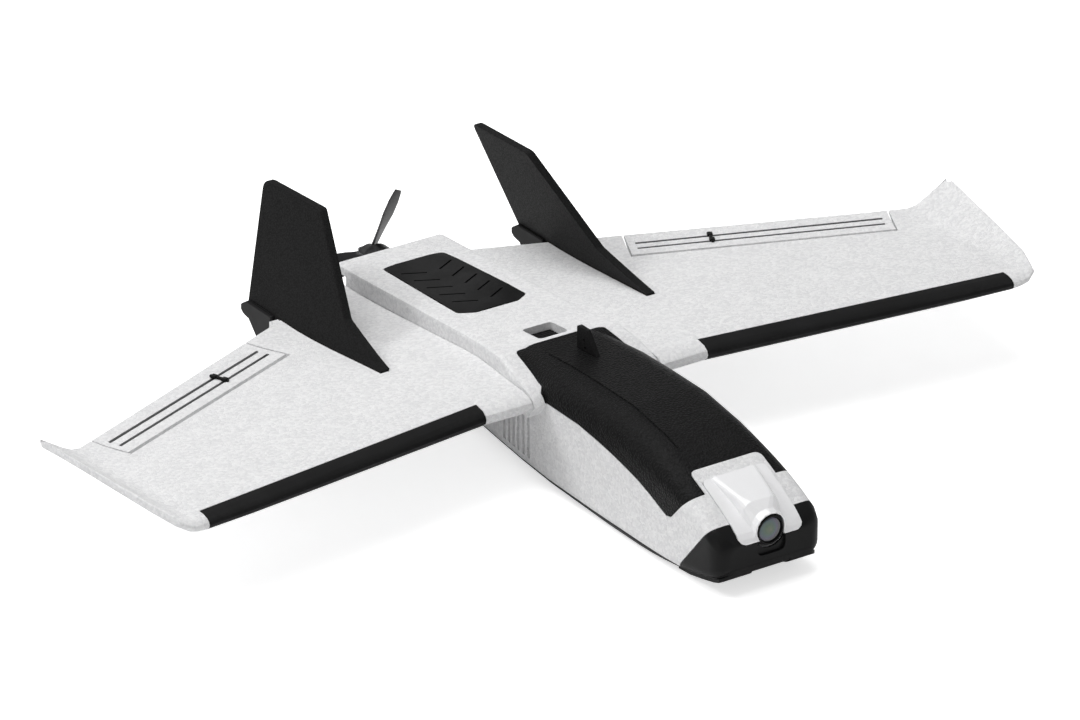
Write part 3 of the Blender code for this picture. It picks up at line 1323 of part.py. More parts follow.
# ================================================================ fins
def fin_plate(name, grow=0.0):
    """Fin outline stood up along the canted fin plane."""
    trail = trailing_y(FIN_X)
    foot = []
    for count in range(5):
        y = between(FIN_FRONT_Y, trail - 0.004, count / 4)
        foot.append((y, wing_point(FIN_X, y, 1) - FIN_SLOT_DEPTH))
    outline = foot + [(FIN_HEEL_Y, FIN_HEEL_Z), (FIN_TOP_REAR_Y, FIN_TOP_REAR_Z),
                      (FIN_TOP_FRONT_Y, FIN_TOP_FRONT_Z), (FIN_KINK_Y, FIN_KINK_Z),
                      (FIN_FRONT_Y + 0.012, FIN_FRONT_Z + 0.0012), (FIN_FRONT_Y, FIN_FRONT_Z - 0.0016)]
    radii = (0.0,) * 6 + (FIN_TIP_RADIUS, FIN_TIP_RADIUS, FIN_KINK_RADIUS, 0.0, 0.0)
    outline = rounded(grown(outline, grow), radii)
    half = 0.5 * FIN_THICKNESS / math.cos(FIN_CANT) + grow
    lean = math.tan(FIN_CANT)

    def face(side):
        return [(FIN_X - (z - FIN_BASE_Z) * lean + side * half, y, z) for y, z in outline]
    return loft(name, [face(-1), face(1)])


def fins():
    """Canted fins with rounded edges, each with the shoe under its heel."""
    fin = fin_plate("fin")

    def free_edge(edge):
        one_face = abs((edge.verts[0].co.x - edge.verts[1].co.x)
                       + (edge.verts[0].co.z - edge.verts[1].co.z) * math.tan(FIN_CANT)) < 1e-5
        clear = min(v.co.z - wing_point(FIN_X, v.co.y, 1) for v in edge.verts) > 0.002
        behind = min(v.co.y for v in edge.verts) > trailing_y(FIN_X) + BOSS_LENGTH + 0.002
        return one_face and (clear or behind)
    bevel_edges(fin, FIN_EDGE, 2, free_edge)
    dress(fin, "left_fin", "black_foam")
    pair(fin, "fin")
    fin_bracket()


def fin_bracket():
    """Black shoe behind the boss that the fin's heel stands in, tapering to a keel below."""
    start = trailing_y(FIN_X) + BOSS_LENGTH + GAP
    end = start + BRACKET_LENGTH
    top = FIN_HEEL_Z + BRACKET_CHEEK
    keel = top - BRACKET_CHEEK - BRACKET_DROP
    outline = [(start, top), (FIN_HEEL_Y - 0.002, top), (end, top - 0.0040), (end, top - 0.0070),
               (end - 0.0025, top - 0.0090), (start + 0.74 * BRACKET_LENGTH, top - 0.0100),
               (start + 0.50 * BRACKET_LENGTH, keel), (start + 0.36 * BRACKET_LENGTH, keel),
               (start, top - 0.0085)]
    shoe = prism("shoe", outline, "X", FIN_X - BRACKET_HALF_WIDTH, FIN_X + BRACKET_HALF_WIDTH)
    bevel_edges(shoe, 0.0006, 1, lambda edge: True)
    cut(shoe, fin_plate("slot", GAP))
    dress(shoe, "left_fin_bracket", "black_plastic")
    pair(shoe, "fin_bracket")


# ================================================================ linkage
def lever(top_radius, end_radius, drop, centre):
    """Outline of a bar that hangs from a hub, wider at the hub, as (behind, above) pairs."""
    points = []
    for step in range(9):
        angle = math.pi * step / 8
        points.append((centre + top_radius * math.cos(angle), top_radius * math.sin(angle)))
    for step in range(9):
        angle = math.pi + math.pi * step / 8
        points.append((centre + end_radius * math.cos(angle), end_radius * math.sin(angle) - drop))
    return points


def hinge_hole(hinge, target, behind, radius, low, high):
    """Drill a pivot hole parallel to the hinge axis."""
    cut(target, hinge.prism("hole", circle((behind, -HORN_DROP), radius, 12), low, high))


def horn_plate(hinge, name, grow=0.0):
    """Upright plate of the control horn: a tongue in the elevon and a lever below it."""
    under = hinge.on_surface(HORN_STATION, HORN_REACH, -1)[2] - hinge.at(HORN_STATION, HORN_REACH).z
    outline = [(HORN_START - grow, under + HORN_TONGUE + grow),
               (HORN_START - grow, -0.0008),
               (-HORN_TIP_HALF, -HORN_DROP + 0.0012),
               (-HORN_TIP_HALF, -HORN_DROP - 0.0008),
               (-0.5 * HORN_TIP_HALF, -HORN_DROP - HORN_TIP_HALF),
               (0.5 * HORN_TIP_HALF, -HORN_DROP - HORN_TIP_HALF),
               (HORN_TIP_HALF, -HORN_DROP - 0.0008),
               (HORN_REACH + grow, -0.0004),
               (HORN_REACH + grow, under + HORN_TONGUE + grow)]
    half = 0.5 * HORN_WIDTH + grow
    return hinge.prism(name, outline, HORN_STATION - half, HORN_STATION + half)


def horns(hinge):
    """Control horns under the elevons and the clips on top that hold them."""
    horn = horn_plate(hinge, "horn")
    hinge_hole(hinge, horn, 0.0, ROD_RADIUS + PIVOT_CLEARANCE, 0.0, hinge.length)
    dress(horn, "left_control_horn", "black_plastic")
    hang(hinge, horn, "control_horn")
    low = STRIP_OFFSETS[0] - CLIP_OVERHANG
    clip = clip_slab(hinge, 0.5 * CLIP_BAR, low, STRIP_OFFSETS[1] + CLIP_OVERHANG, 1.0)
    half = 0.5 * CLIP_PAD
    for behind in STRIP_OFFSETS:
        fuse(clip, clip_slab(hinge, half, behind - half, behind + half, 1.3))
    dress(clip, "left_horn_clip", "black_plastic")
    hang(hinge, clip, "horn_clip")


def clip_slab(hinge, half, low, high, tall):
    """Flat block on top of the elevon, centred on the horn."""
    rings = []
    for station in (HORN_STATION - half, HORN_STATION + half):
        foot = [hinge.on_surface(station, behind, 1, GAP) for behind in (low, high)]
        head = [(x, y, z + tall * CLIP_HEIGHT) for x, y, z in foot]
        rings.append([foot[0], foot[1], head[1], head[0]])
    return loft("clip", rings)


def servos(hinge):
    """Servos let into the wings from below, with their arms and pushrods."""
    axis = -ROD_LENGTH
    face = HORN_STATION - 0.5 * ARM_THICKNESS - ARM_STANDOFF
    half = 0.5 * SERVO_HEIGHT
    rear = axis + SERVO_AXIS_INSET
    case = hinge.box("servo", (face - SERVO_DEPTH, face), (rear - SERVO_LENGTH, rear), (-half, half))
    bevel_edges(case, 0.0005, 1, lambda edge: True)
    ears = hinge.box("ears", (face - EAR_SETBACK - EAR_THICKNESS, face - EAR_SETBACK),
                     (rear - SERVO_LENGTH - EAR_LENGTH, rear + EAR_LENGTH), (-half + GAP, half - GAP))
    fuse(case, ears)
    spline = hinge.prism("spline", circle((axis, 0.0), SPLINE_RADIUS, 16), face - 0.002,
                         HORN_STATION - 0.5 * ARM_THICKNESS - GAP)
    fuse(case, spline)
    dress(case, "left_servo", "black_plastic")
    pair(case, "servo")
    arm = hinge.prism("arm", lever(ARM_HUB_RADIUS, ARM_TIP_RADIUS, HORN_DROP, axis),
                      HORN_STATION - 0.5 * ARM_THICKNESS, HORN_STATION + 0.5 * ARM_THICKNESS)
    hinge_hole(hinge, arm, axis, ROD_RADIUS + PIVOT_CLEARANCE, 0.0, hinge.length)
    dress(arm, "left_servo_arm", "white_plastic")
    set_origin(arm, hinge.at(HORN_STATION, axis))
    pair(arm, "servo_arm")
    station = HORN_STATION + 0.5 * HORN_WIDTH + GAP + ROD_RADIUS
    rings = []
    for behind in (axis - ROD_RADIUS, ROD_RADIUS):
        rings.append([hinge.at(station + ROD_RADIUS * math.cos(math.pi * step / 5),
                               behind, -HORN_DROP + ROD_RADIUS * math.sin(math.pi * step / 5))
                      for step in range(10)])
    rod = loft("rod", rings)
    for behind in (axis, 0.0):
        pin = hinge.prism("pin", circle((behind, -HORN_DROP), 0.92 * ROD_RADIUS, 10),
                          HORN_STATION - 0.5 * HORN_WIDTH - 2 * GAP, station)
        fuse(rod, pin)
    dress(rod, "left_pushrod", "steel")
    set_origin(rod, hinge.at(HORN_STATION, axis, -HORN_DROP))
    pair(rod, "pushrod")


# ================================================================ propulsion
def motor(mount_y):
    """Motor mount, stator base, open-ended bell with windows, and the shaft."""
    flat = DECK_REAR_TOP - DECK_LIP - GAP
    ring = [(x, min(z, flat)) for x, z in circle((0.0, MOTOR_Z), MOUNT_RADIUS, 24)]
    mount = prism("motor_mount", ring, "Y", mount_y, mount_y + MOUNT_THICKNESS)
    bore = STATOR_BORE + GAP
    cut(mount, prism("hole", circle((0.0, MOTOR_Z), bore, 20), "Y", 0.0, 2 * DECK_REAR))
    for step in range(4):
        angle = 0.25 * math.pi + 0.5 * math.pi * step
        centre = (SCREW_CIRCLE * math.cos(angle), MOTOR_Z + SCREW_CIRCLE * math.sin(angle))
        cut(mount, prism("hole", circle(centre, SCREW_RADIUS, 10), "Y", 0.0, 2 * DECK_REAR))
    dress(mount, "motor_mount", "black_plastic")
    base_y = mount_y + MOUNT_THICKNESS + GAP
    bell_y = base_y + MOTOR_BASE_LENGTH + RUNNING_GAP
    centre = (0.0, MOTOR_Z)
    base = turned("motor_base", [(0.0, MOTOR_BASE_RADIUS), (MOTOR_BASE_LENGTH, MOTOR_BASE_RADIUS)],
                  base_y, centre)
    stator = turned("stator", [(0.001, STATOR_RADIUS),
                               (MOTOR_BASE_LENGTH + STATOR_LENGTH, STATOR_RADIUS)], base_y, centre)
    fuse(base, stator)
    cut(base, prism("hole", circle(centre, STATOR_BORE, 20), "Y", 0.0, 2 * DECK_REAR))
    for step in range(STATOR_SLOTS):
        angle = 2 * math.pi * (step + 0.5) / STATOR_SLOTS
        spot = (STATOR_RADIUS * math.cos(angle), MOTOR_Z + STATOR_RADIUS * math.sin(angle))
        cut(base, prism("slot", circle(spot, STATOR_SLOT_RADIUS, 8), "Y",
                        base_y + MOTOR_BASE_LENGTH + GAP, bell_y + BELL_LENGTH))
    dress(base, "motor_base", "copper")
    bell = turned("motor_bell", [(0.0, BELL_RADIUS), (BELL_LENGTH - 0.0012, BELL_RADIUS),
                                 (BELL_LENGTH, BELL_RADIUS - 0.0015)], bell_y, centre, count=32)
    cut(bell, turned("hollow", [(-CUT_MARGIN, BELL_RADIUS - BELL_WALL),
                                (BELL_LENGTH - BELL_END, BELL_RADIUS - BELL_WALL)], bell_y, centre))
    cut(bell, prism("hole", circle(centre, SHAFT_RADIUS + GAP, 16), "Y", 0.0, 2 * DECK_REAR))
    for step in range(BELL_WINDOWS):
        angle = 2 * math.pi * step / BELL_WINDOWS
        spot = (WINDOW_CIRCLE * math.cos(angle), MOTOR_Z + WINDOW_CIRCLE * math.sin(angle))
        cut(bell, prism("window", circle(spot, WINDOW_RADIUS, 12), "Y",
                        bell_y + BELL_LENGTH - 2 * BELL_END, bell_y + 2 * BELL_LENGTH))
    dress(bell, "motor_bell", "black_metal")
    set_origin(bell, (0.0, bell_y, MOTOR_Z))
    shaft_y = base_y + MOTOR_BASE_LENGTH
    shaft = turned("motor_shaft", [(0.0, SHAFT_RADIUS), (SHAFT_LENGTH, SHAFT_RADIUS)],
                   shaft_y, centre, count=16)
    dress(shaft, "motor_shaft", "steel")
    set_origin(shaft, (0.0, shaft_y, MOTOR_Z))
    return bell_y + BELL_LENGTH


def blade(index, hub_y):
    """One twisted blade, lofted from the hub to its rounded tip."""
    turn = BLADE_ANGLE - 2 * math.pi * index / BLADE_COUNT
    outward = Vector((math.sin(turn), 0.0, math.cos(turn)))
    around = Vector((math.cos(turn), 0.0, -math.sin(turn)))
    rings = []
    for share in (0.0, 0.12, 0.26, 0.42, 0.60, 0.80, 0.94, 1.0):
        radius = between(HUB_RADIUS - 0.0020, PROP_RADIUS, share)
        if share < 0.42:
            chord = between(BLADE_ROOT_CHORD, BLADE_MAX_CHORD, ease(share / 0.42))
        else:
            chord = between(BLADE_MAX_CHORD, BLADE_TIP_CHORD, ((share - 0.42) / 0.58) ** 2.2)
        pitch = min(BLADE_ROOT_PITCH, math.atan(PROP_PITCH / (2 * math.pi * radius)))
        chord_line = around * math.cos(pitch) + Vector((0.0, math.sin(pitch), 0.0))
        normal = outward.cross(chord_line).normalized()
        thick = between(BLADE_ROOT_THICKNESS, BLADE_TIP_THICKNESS, share)
        centre = Vector((0.0, hub_y, MOTOR_Z)) + outward * radius
        ring = []
        for along, above in BLADE_SECTION:
            ring.append(centre + chord_line * chord * along + normal * thick * above)
        rings.append(ring)
    return loft("blade", rings)


def propeller(bell_rear):
    """Three-bladed pusher propeller with its hub, and the nut behind it."""
    front = bell_rear + PROP_STANDOFF
    hub_y = front + 0.5 * HUB_LENGTH
    centre = (0.0, MOTOR_Z)
    prop = turned("propeller", [(0.0, HUB_RADIUS - 0.0006), (0.0006, HUB_RADIUS),
                                (HUB_LENGTH - 0.0008, HUB_RADIUS), (HUB_LENGTH, HUB_RADIUS - 0.0008)],
                  front, centre, count=24)
    for index in range(BLADE_COUNT):
        fuse(prop, blade(index, hub_y))
    cut(prop, prism("hole", circle(centre, SHAFT_RADIUS + GAP, 16), "Y", 0.0, 2 * DECK_REAR))
    dress(prop, "propeller", "carbon")
    set_origin(prop, (0.0, hub_y, MOTOR_Z))
    nut_y = front + HUB_LENGTH + GAP
    nut = turned("prop_nut", [(0.0, NUT_RADIUS), (0.0008, NUT_RADIUS), (NUT_LENGTH - 0.001, NUT_RADIUS),
                              (NUT_LENGTH, NUT_RADIUS - 0.001)], nut_y, centre, count=6)
    cut(nut, prism("hole", circle(centre, SHAFT_RADIUS + GAP, 16), "Y", 0.0, 2 * DECK_REAR))
    dress(nut, "prop_nut", "black_metal")
    set_origin(nut, (0.0, nut_y, MOTOR_Z))


# ================================================================ equipment
def battery():
    """Battery pack on the bay floor with a strap over it."""
    width, length, height = BATTERY_SIZE
    floor = BAY_FLOOR + GAP
    rear_y = BATTERY_FRONT_Y + length
    pack = block("battery_pack", (-0.5 * width, BATTERY_FRONT_Y, floor),
                 (0.5 * width, rear_y, floor + height))
    bevel_edges(pack, BATTERY_EDGE, 2, lambda edge: True)
    dress(pack, "battery_pack", "wrap")
    inner = 0.5 * width + GAP
    outer = inner + STRAP_THICKNESS
    low = floor + height + GAP
    outline = [(inner, floor), (inner, low), (-inner, low), (-inner, floor),
               (-outer - STRAP_FOOT, floor), (-outer - STRAP_FOOT, floor + STRAP_THICKNESS),
               (-outer, floor + STRAP_THICKNESS), (-outer, low + STRAP_THICKNESS),
               (outer, low + STRAP_THICKNESS), (outer, floor + STRAP_THICKNESS),
               (outer + STRAP_FOOT, floor + STRAP_THICKNESS), (outer + STRAP_FOOT, floor)]
    middle = BATTERY_FRONT_Y + 0.5 * length
    strap = prism("battery_strap", outline, "Y", middle - 0.5 * STRAP_WIDTH,
                  middle + 0.5 * STRAP_WIDTH)
    dress(strap, "battery_strap", "webbing")


def board(name, centre_y, half_length, half_width, height):
    """A small circuit board with a chip and a connector on it."""
    floor = ELECTRONICS_FLOOR + GAP
    plate = block(name, (-half_width, centre_y - half_length, floor),
                  (half_width, centre_y + half_length, floor + BOARD_THICKNESS))
    chip = block("chip", (-0.45 * half_width, centre_y - 0.45 * half_length, floor + 0.5 * BOARD_THICKNESS),
                 (0.45 * half_width, centre_y + 0.35 * half_length, floor + 0.55 * height))
    plug = block("plug", (-0.7 * half_width, centre_y + 0.6 * half_length, floor + 0.5 * BOARD_THICKNESS),
                 (0.7 * half_width, centre_y + 0.9 * half_length, floor + height))
    fuse(plate, chip)
    fuse(plate, plug)
    return dress(plate, name, "board")


def electronics():
    """The boards that stand in the rear bay, under the vent."""
    for name, centre_y, half_length, half_width, height in BOARDS:
        board(name, centre_y, half_length, half_width, height)


def main_spar():
    """Carbon tube through both wing roots and the pod."""
    spar = prism("main_spar", circle((SPAR_Y, SPAR_Z), SPAR_RADIUS, 16), "X",
                 -SPAR_HALF_LENGTH, SPAR_HALF_LENGTH)
    cut(spar, prism("bore", circle((SPAR_Y, SPAR_Z), SPAR_RADIUS - SPAR_WALL, 12), "X",
                    -2 * SPAR_HALF_LENGTH, 2 * SPAR_HALF_LENGTH))
    dress(spar, "main_spar", "carbon")


def main():
    """Build the whole craft."""
    clear_scene()
    fuselage_shell()
    battery_hatch()
    hatch_pull_tab()
    magnets()
    nose_bumper()
    belly_skid_plate()
    vent_cover()
    camera_cover()
    camera_parts()
    hinge = HingeLine()
    wing_panel(hinge)
    leading_edge_guard()
    elevons(hinge)
    horns(hinge)
    servos(hinge)
    fins()
    main_spar()
    bell_rear = motor(TAIL_LENGTH + GAP)
    propeller(bell_rear)
    battery()
    electronics()


main()
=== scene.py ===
"""Finishes, fine surface and studio for the foam flying wing."""
import logging
import math
from dataclasses import dataclass
from enum import Enum
from typing import Sequence

import bmesh
import bpy
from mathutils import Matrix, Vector


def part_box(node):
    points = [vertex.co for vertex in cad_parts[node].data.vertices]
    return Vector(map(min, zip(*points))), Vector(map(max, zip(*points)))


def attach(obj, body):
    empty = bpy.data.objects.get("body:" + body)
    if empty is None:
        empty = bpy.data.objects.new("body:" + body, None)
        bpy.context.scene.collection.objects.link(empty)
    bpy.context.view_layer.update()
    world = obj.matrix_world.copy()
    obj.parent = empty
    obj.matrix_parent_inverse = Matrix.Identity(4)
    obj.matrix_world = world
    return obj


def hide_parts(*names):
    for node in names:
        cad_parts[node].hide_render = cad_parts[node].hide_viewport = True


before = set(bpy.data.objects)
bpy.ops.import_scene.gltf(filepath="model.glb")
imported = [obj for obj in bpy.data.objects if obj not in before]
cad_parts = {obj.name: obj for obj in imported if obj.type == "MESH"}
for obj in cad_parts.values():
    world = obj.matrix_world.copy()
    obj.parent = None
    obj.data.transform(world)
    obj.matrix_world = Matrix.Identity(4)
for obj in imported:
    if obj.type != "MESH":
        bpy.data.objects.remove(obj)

LOG = logging.getLogger("flying_wing")
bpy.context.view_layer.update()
MERGE_DISTANCE = 0.00001
FLAT_LIMIT = math.radians(0.6)
SMOOTH_LIMIT = math.radians(32)
SHARP_MARGIN = math.radians(8)      # past the rounding limit before an edge is shaded sharp
ROUNDING_FACES = 2
NORMAL_WEIGHT = 80
SEAM_WOBBLE = 0.0009                # how far the foam's bead seams wander
PLACES_PER_METRE = 10000.0          # grid on which points above each other are matched
DUST_COLOUR = (0.55, 0.55, 0.54, 1.0)
DUST_ROUGHNESS = 0.3
HAIR_EDGE = 0.0001
FINE_EDGE = 0.0002
THIN_EDGE = 0.0003
SOFT_EDGE = 0.0004
NO_EDGE = 0.0


# ------------------------------------------------------------------ shader groups
class Grain(Enum):
    """The kinds of fine surface that the craft's materials show."""

    BEAD = "bead"
    PEBBLE = "pebble"
    SATIN = "satin"
    WEAVE = "weave"
    TURNED = "turned"


def new_group(name: str, inputs: dict[str, float], outputs: Sequence[str]) -> bpy.types.NodeTree:
    """Start a shader node group with a vector input, named values and named outputs.

    Args:
        name: The group's name.
        inputs: Value inputs and their defaults.
        outputs: Names of the value outputs.

    Returns:
        The empty group with its sockets made.
    """
    tree = bpy.data.node_groups.new(name, "ShaderNodeTree")
    tree.interface.new_socket("Vector", in_out="INPUT", socket_type="NodeSocketVector")
    for label, value in inputs.items():
        socket = tree.interface.new_socket(label, in_out="INPUT", socket_type="NodeSocketFloat")
        socket.default_value = value
    for label in outputs:
        tree.interface.new_socket(label, in_out="OUTPUT", socket_type="NodeSocketFloat")
    tree.nodes.new("NodeGroupInput")
    tree.nodes.new("NodeGroupOutput")
    return tree


class Wiring:
    """Short hand for adding and joining nodes in one tree."""

    def __init__(self, tree: bpy.types.NodeTree) -> None:
        """Keep the tree to work in."""
        self.tree = tree

    def node(self, kind: str, settings: dict | None = None, **values: object) -> bpy.types.Node:
        """Add a node, set its options and its input sockets.

        Args:
            kind: The node's class name.
            settings: Options of the node itself.
            **values: Input socket names, with underscores for spaces, and their values or sources.

        Returns:
            The new node.
        """
        made = self.tree.nodes.new(kind)
        for label, value in (settings or {}).items():
            setattr(made, label, value)
        for label, value in values.items():
            self.feed(made.inputs[label.replace("_", " ")], value)
        return made

    def feed(self, socket: bpy.types.NodeSocket, value: object) -> None:
        """Link a source to a socket, or set its value.

        Args:
            socket: The input socket.
            value: An output socket, a number or a tuple.
        """
        if isinstance(value, bpy.types.NodeSocket):
            self.tree.links.new(value, socket)
        else:
            socket.default_value = value

    def math(self, operation: str, first: object, second: object = 0.5,
             third: object = 0.0) -> bpy.types.NodeSocket:
        """Add a maths node.

        Args:
            operation: The node's operation.
            first: First operand.
            second: Second operand.
            third: Third operand.

        Returns:
            The result socket.
        """
        made = self.tree.nodes.new("ShaderNodeMath")
        made.operation = operation
        for index, value in enumerate((first, second, third)):
            self.feed(made.inputs[index], value)
        return made.outputs[0]

    def span(self, value: object, low: float, high: float, to_low: float = 0.0,
             to_high: float = 1.0) -> bpy.types.NodeSocket:
        """Map one range to another, clamped.

        Args:
            value: The source.
            low: Start of the source range.
            high: End of the source range.
            to_low: Start of the result range.
            to_high: End of the result range.

        Returns:
            The result socket.
        """
        made = self.node("ShaderNodeMapRange", From_Min=low, From_Max=high, To_Min=to_low,
                         To_Max=to_high)
        self.feed(made.inputs["Value"], value)
        return made.outputs["Result"]

    def blend(self, factor: object, low: tuple, high: tuple) -> bpy.types.NodeSocket:
        """Blend two colours.

        Args:
            factor: Blend factor.
            low: Colour at 0, or a source.
            high: Colour at 1, or a source.

        Returns:
            The colour socket.
        """
        made = self.tree.nodes.new("ShaderNodeMix")
        made.data_type = "RGBA"
        self.feed(made.inputs[0], factor)
        self.feed(made.inputs[6], low)
        self.feed(made.inputs[7], high)
        return made.outputs[2]

    def ends(self) -> tuple[bpy.types.Node, bpy.types.Node]:
        """Return the group's input and output nodes."""
        return self.tree.nodes["Group Input"], self.tree.nodes["Group Output"]


class GroupShelf:
    """Shader groups that several finishes share, each built once."""

    def __init__(self) -> None:
        """Start with nothing built."""
        self.made: dict[str, bpy.types.NodeTree] = {}

    def get(self, name: str) -> bpy.types.NodeTree:
        """Return a group, building it the first time."""
        if name not in self.made:
            self.made[name] = getattr(self, "build_" + name)()
        return self.made[name]

    def build_bead(self) -> bpy.types.NodeTree:
        """Moulded bead foam: flattened cells with fine seams and a mottled shade."""
        tree = new_group("Bead Grain", {"Size": 0.002}, ("Height", "Shade", "Pore"))
        wires = Wiring(tree)
        source, result = wires.ends()
        scale = wires.math("DIVIDE", 1.0, source.outputs["Size"])
        wobble = wires.node("ShaderNodeTexNoise", Vector=source.outputs["Vector"], Scale=scale,
                            Detail=3.0, Roughness=0.6)
        shifted = wires.node("ShaderNodeVectorMath", {"operation": "MULTIPLY_ADD"})
        wires.feed(shifted.inputs[0], wobble.outputs["Color"])
        wires.feed(shifted.inputs[1], (SEAM_WOBBLE,) * 3)
        wires.feed(shifted.inputs[2], source.outputs["Vector"])
        cells = wires.node("ShaderNodeTexVoronoi", {"feature": "DISTANCE_TO_EDGE"},
                           Vector=shifted.outputs[0], Scale=scale)
        tone = wires.node("ShaderNodeTexVoronoi", Vector=shifted.outputs[0], Scale=scale)
        tone_value = wires.node("ShaderNodeSeparateColor", Color=tone.outputs["Color"])
        fine = wires.node("ShaderNodeTexNoise", Vector=source.outputs["Vector"],
                          Scale=wires.math("MULTIPLY", scale, 3.1), Detail=4.0, Roughness=0.7)
        broad = wires.node("ShaderNodeTexNoise", Vector=source.outputs["Vector"],
                           Scale=wires.math("MULTIPLY", scale, 0.10), Detail=3.0)
        seam = wires.span(cells.outputs["Distance"], 0.0, 0.16)
        crown = wires.math("MULTIPLY_ADD", seam, 0.75, wires.math("MULTIPLY", fine.outputs["Fac"], 0.5))
        shade = wires.math("MULTIPLY_ADD", tone_value.outputs[0], 0.34,
                           wires.math("MULTIPLY", fine.outputs["Fac"], 0.66))
        shade = wires.math("MULTIPLY_ADD", wires.span(broad.outputs["Fac"], 0.3, 0.7), 0.08, shade)
        wires.feed(result.inputs["Height"], crown)
        wires.feed(result.inputs["Shade"], wires.span(shade, 0.28, 0.95))
        wires.feed(result.inputs["Pore"], wires.span(fine.outputs["Fac"], 0.62, 0.74))
        return tree

    def build_pebble(self) -> bpy.types.NodeTree:
        """Pebbled grain of a moulded black surface."""
        tree = new_group("Pebble Grain", {"Size": 0.0012}, ("Height", "Shade"))
        wires = Wiring(tree)
        source, result = wires.ends()
        scale = wires.math("DIVIDE", 1.0, source.outputs["Size"])
        cells = wires.node("ShaderNodeTexVoronoi", {"feature": "SMOOTH_F1"},
                           Vector=source.outputs["Vector"], Scale=scale, Smoothness=0.35)
        fine = wires.node("ShaderNodeTexNoise", Vector=source.outputs["Vector"],
                          Scale=wires.math("MULTIPLY", scale, 2.3), Detail=4.0, Roughness=0.65)
        pebble = wires.math("SUBTRACT", 1.0, cells.outputs["Distance"])
        height = wires.math("MULTIPLY_ADD", fine.outputs["Fac"], 0.45, pebble)
        wires.feed(result.inputs["Height"], height)
        wires.feed(result.inputs["Shade"], wires.span(height, 0.55, 1.15))
        return tree

    def build_satin(self) -> bpy.types.NodeTree:
        """Very fine spark-eroded grain with faint broad variation."""
        tree = new_group("Satin Grain", {"Size": 0.0005}, ("Height", "Shade"))
        wires = Wiring(tree)
        source, result = wires.ends()
        scale = wires.math("DIVIDE", 1.0, source.outputs["Size"])
        fine = wires.node("ShaderNodeTexNoise", Vector=source.outputs["Vector"], Scale=scale,
                          Detail=5.0, Roughness=0.7)
        broad = wires.node("ShaderNodeTexNoise", Vector=source.outputs["Vector"],
                           Scale=wires.math("MULTIPLY", scale, 0.03), Detail=3.0)
        wires.feed(result.inputs["Height"], fine.outputs["Fac"])
        shade = wires.math("MULTIPLY_ADD", broad.outputs["Fac"], 0.6,
                           wires.math("MULTIPLY", fine.outputs["Fac"], 0.4))
        wires.feed(result.inputs["Shade"], wires.span(shade, 0.3, 0.7))
        return tree

    def build_weave(self) -> bpy.types.NodeTree:
        """Crossed strands, for carbon cloth, webbing and shrink film over it."""
        tree = new_group("Strand Weave", {"Size": 0.001}, ("Height", "Shade"))
        wires = Wiring(tree)
        source, result = wires.ends()
        scale = wires.math("DIVIDE", 0.5, source.outputs["Size"])
        checks = wires.node("ShaderNodeTexChecker", Vector=source.outputs["Vector"], Scale=scale)
        strands = wires.node("ShaderNodeTexWave", {"bands_direction": "DIAGONAL"},
                             Vector=source.outputs["Vector"],
                             Scale=wires.math("MULTIPLY", scale, 1.2), Distortion=0.6)
        height = wires.math("MULTIPLY_ADD", checks.outputs["Fac"], 0.55,
                            wires.math("MULTIPLY", strands.outputs["Fac"], 0.45))
        wires.feed(result.inputs["Height"], height)
        wires.feed(result.inputs["Shade"], height)
        return tree

    def build_turned(self) -> bpy.types.NodeTree:
        """Fine tool marks of a turned or drawn metal."""
        tree = new_group("Turned Marks", {"Size": 0.0004}, ("Height", "Shade"))
        wires = Wiring(tree)
        source, result = wires.ends()
        scale = wires.math("DIVIDE", 1.0, source.outputs["Size"])
        stretched = wires.node("ShaderNodeMapping", Vector=source.outputs["Vector"],
                               Scale=(0.05, 1.0, 0.05))
        marks = wires.node("ShaderNodeTexNoise", Vector=stretched.outputs["Vector"], Scale=scale,
                           Detail=4.0, Roughness=0.7)
        wires.feed(result.inputs["Height"], marks.outputs["Fac"])
        wires.feed(result.inputs["Shade"], wires.span(marks.outputs["Fac"], 0.3, 0.7))
        return tree

    def build_dust(self) -> bpy.types.NodeTree:
        """Dust that settles on faces that look up, in soft patches."""
        tree = new_group("Settled Dust", {"Amount": 0.2}, ("Mask",))
        wires = Wiring(tree)
        source, result = wires.ends()
        facing = wires.node("ShaderNodeSeparateXYZ")
        wires.feed(facing.inputs[0], wires.node("ShaderNodeNewGeometry").outputs["Normal"])
        patch = wires.node("ShaderNodeTexNoise", Vector=source.outputs["Vector"], Scale=60.0,
                           Detail=6.0, Roughness=0.7)
        level = wires.math("MULTIPLY", wires.span(facing.outputs["Z"], 0.1, 1.0),
                           wires.span(patch.outputs["Fac"], 0.40, 0.72))
        wires.feed(result.inputs["Mask"], wires.math("MULTIPLY", level, source.outputs["Amount"]))
        return tree

    def build_wear(self) -> bpy.types.NodeTree:
        """Rubbed edges, from the curvature of the surface and a broken noise."""
        tree = new_group("Edge Wear", {"Amount": 0.5}, ("Mask",))
        wires = Wiring(tree)
        source, result = wires.ends()
        sharpness = wires.node("ShaderNodeNewGeometry").outputs["Pointiness"]
        breakup = wires.node("ShaderNodeTexNoise", Vector=source.outputs["Vector"], Scale=420.0,
                             Detail=5.0, Roughness=0.7)
        edge = wires.span(sharpness, 0.53, 0.62)
        level = wires.math("MULTIPLY", edge, wires.span(breakup.outputs["Fac"], 0.38, 0.68))
        wires.feed(result.inputs["Mask"], wires.math("MULTIPLY", level, source.outputs["Amount"]))
        return tree


SHELF = GroupShelf()


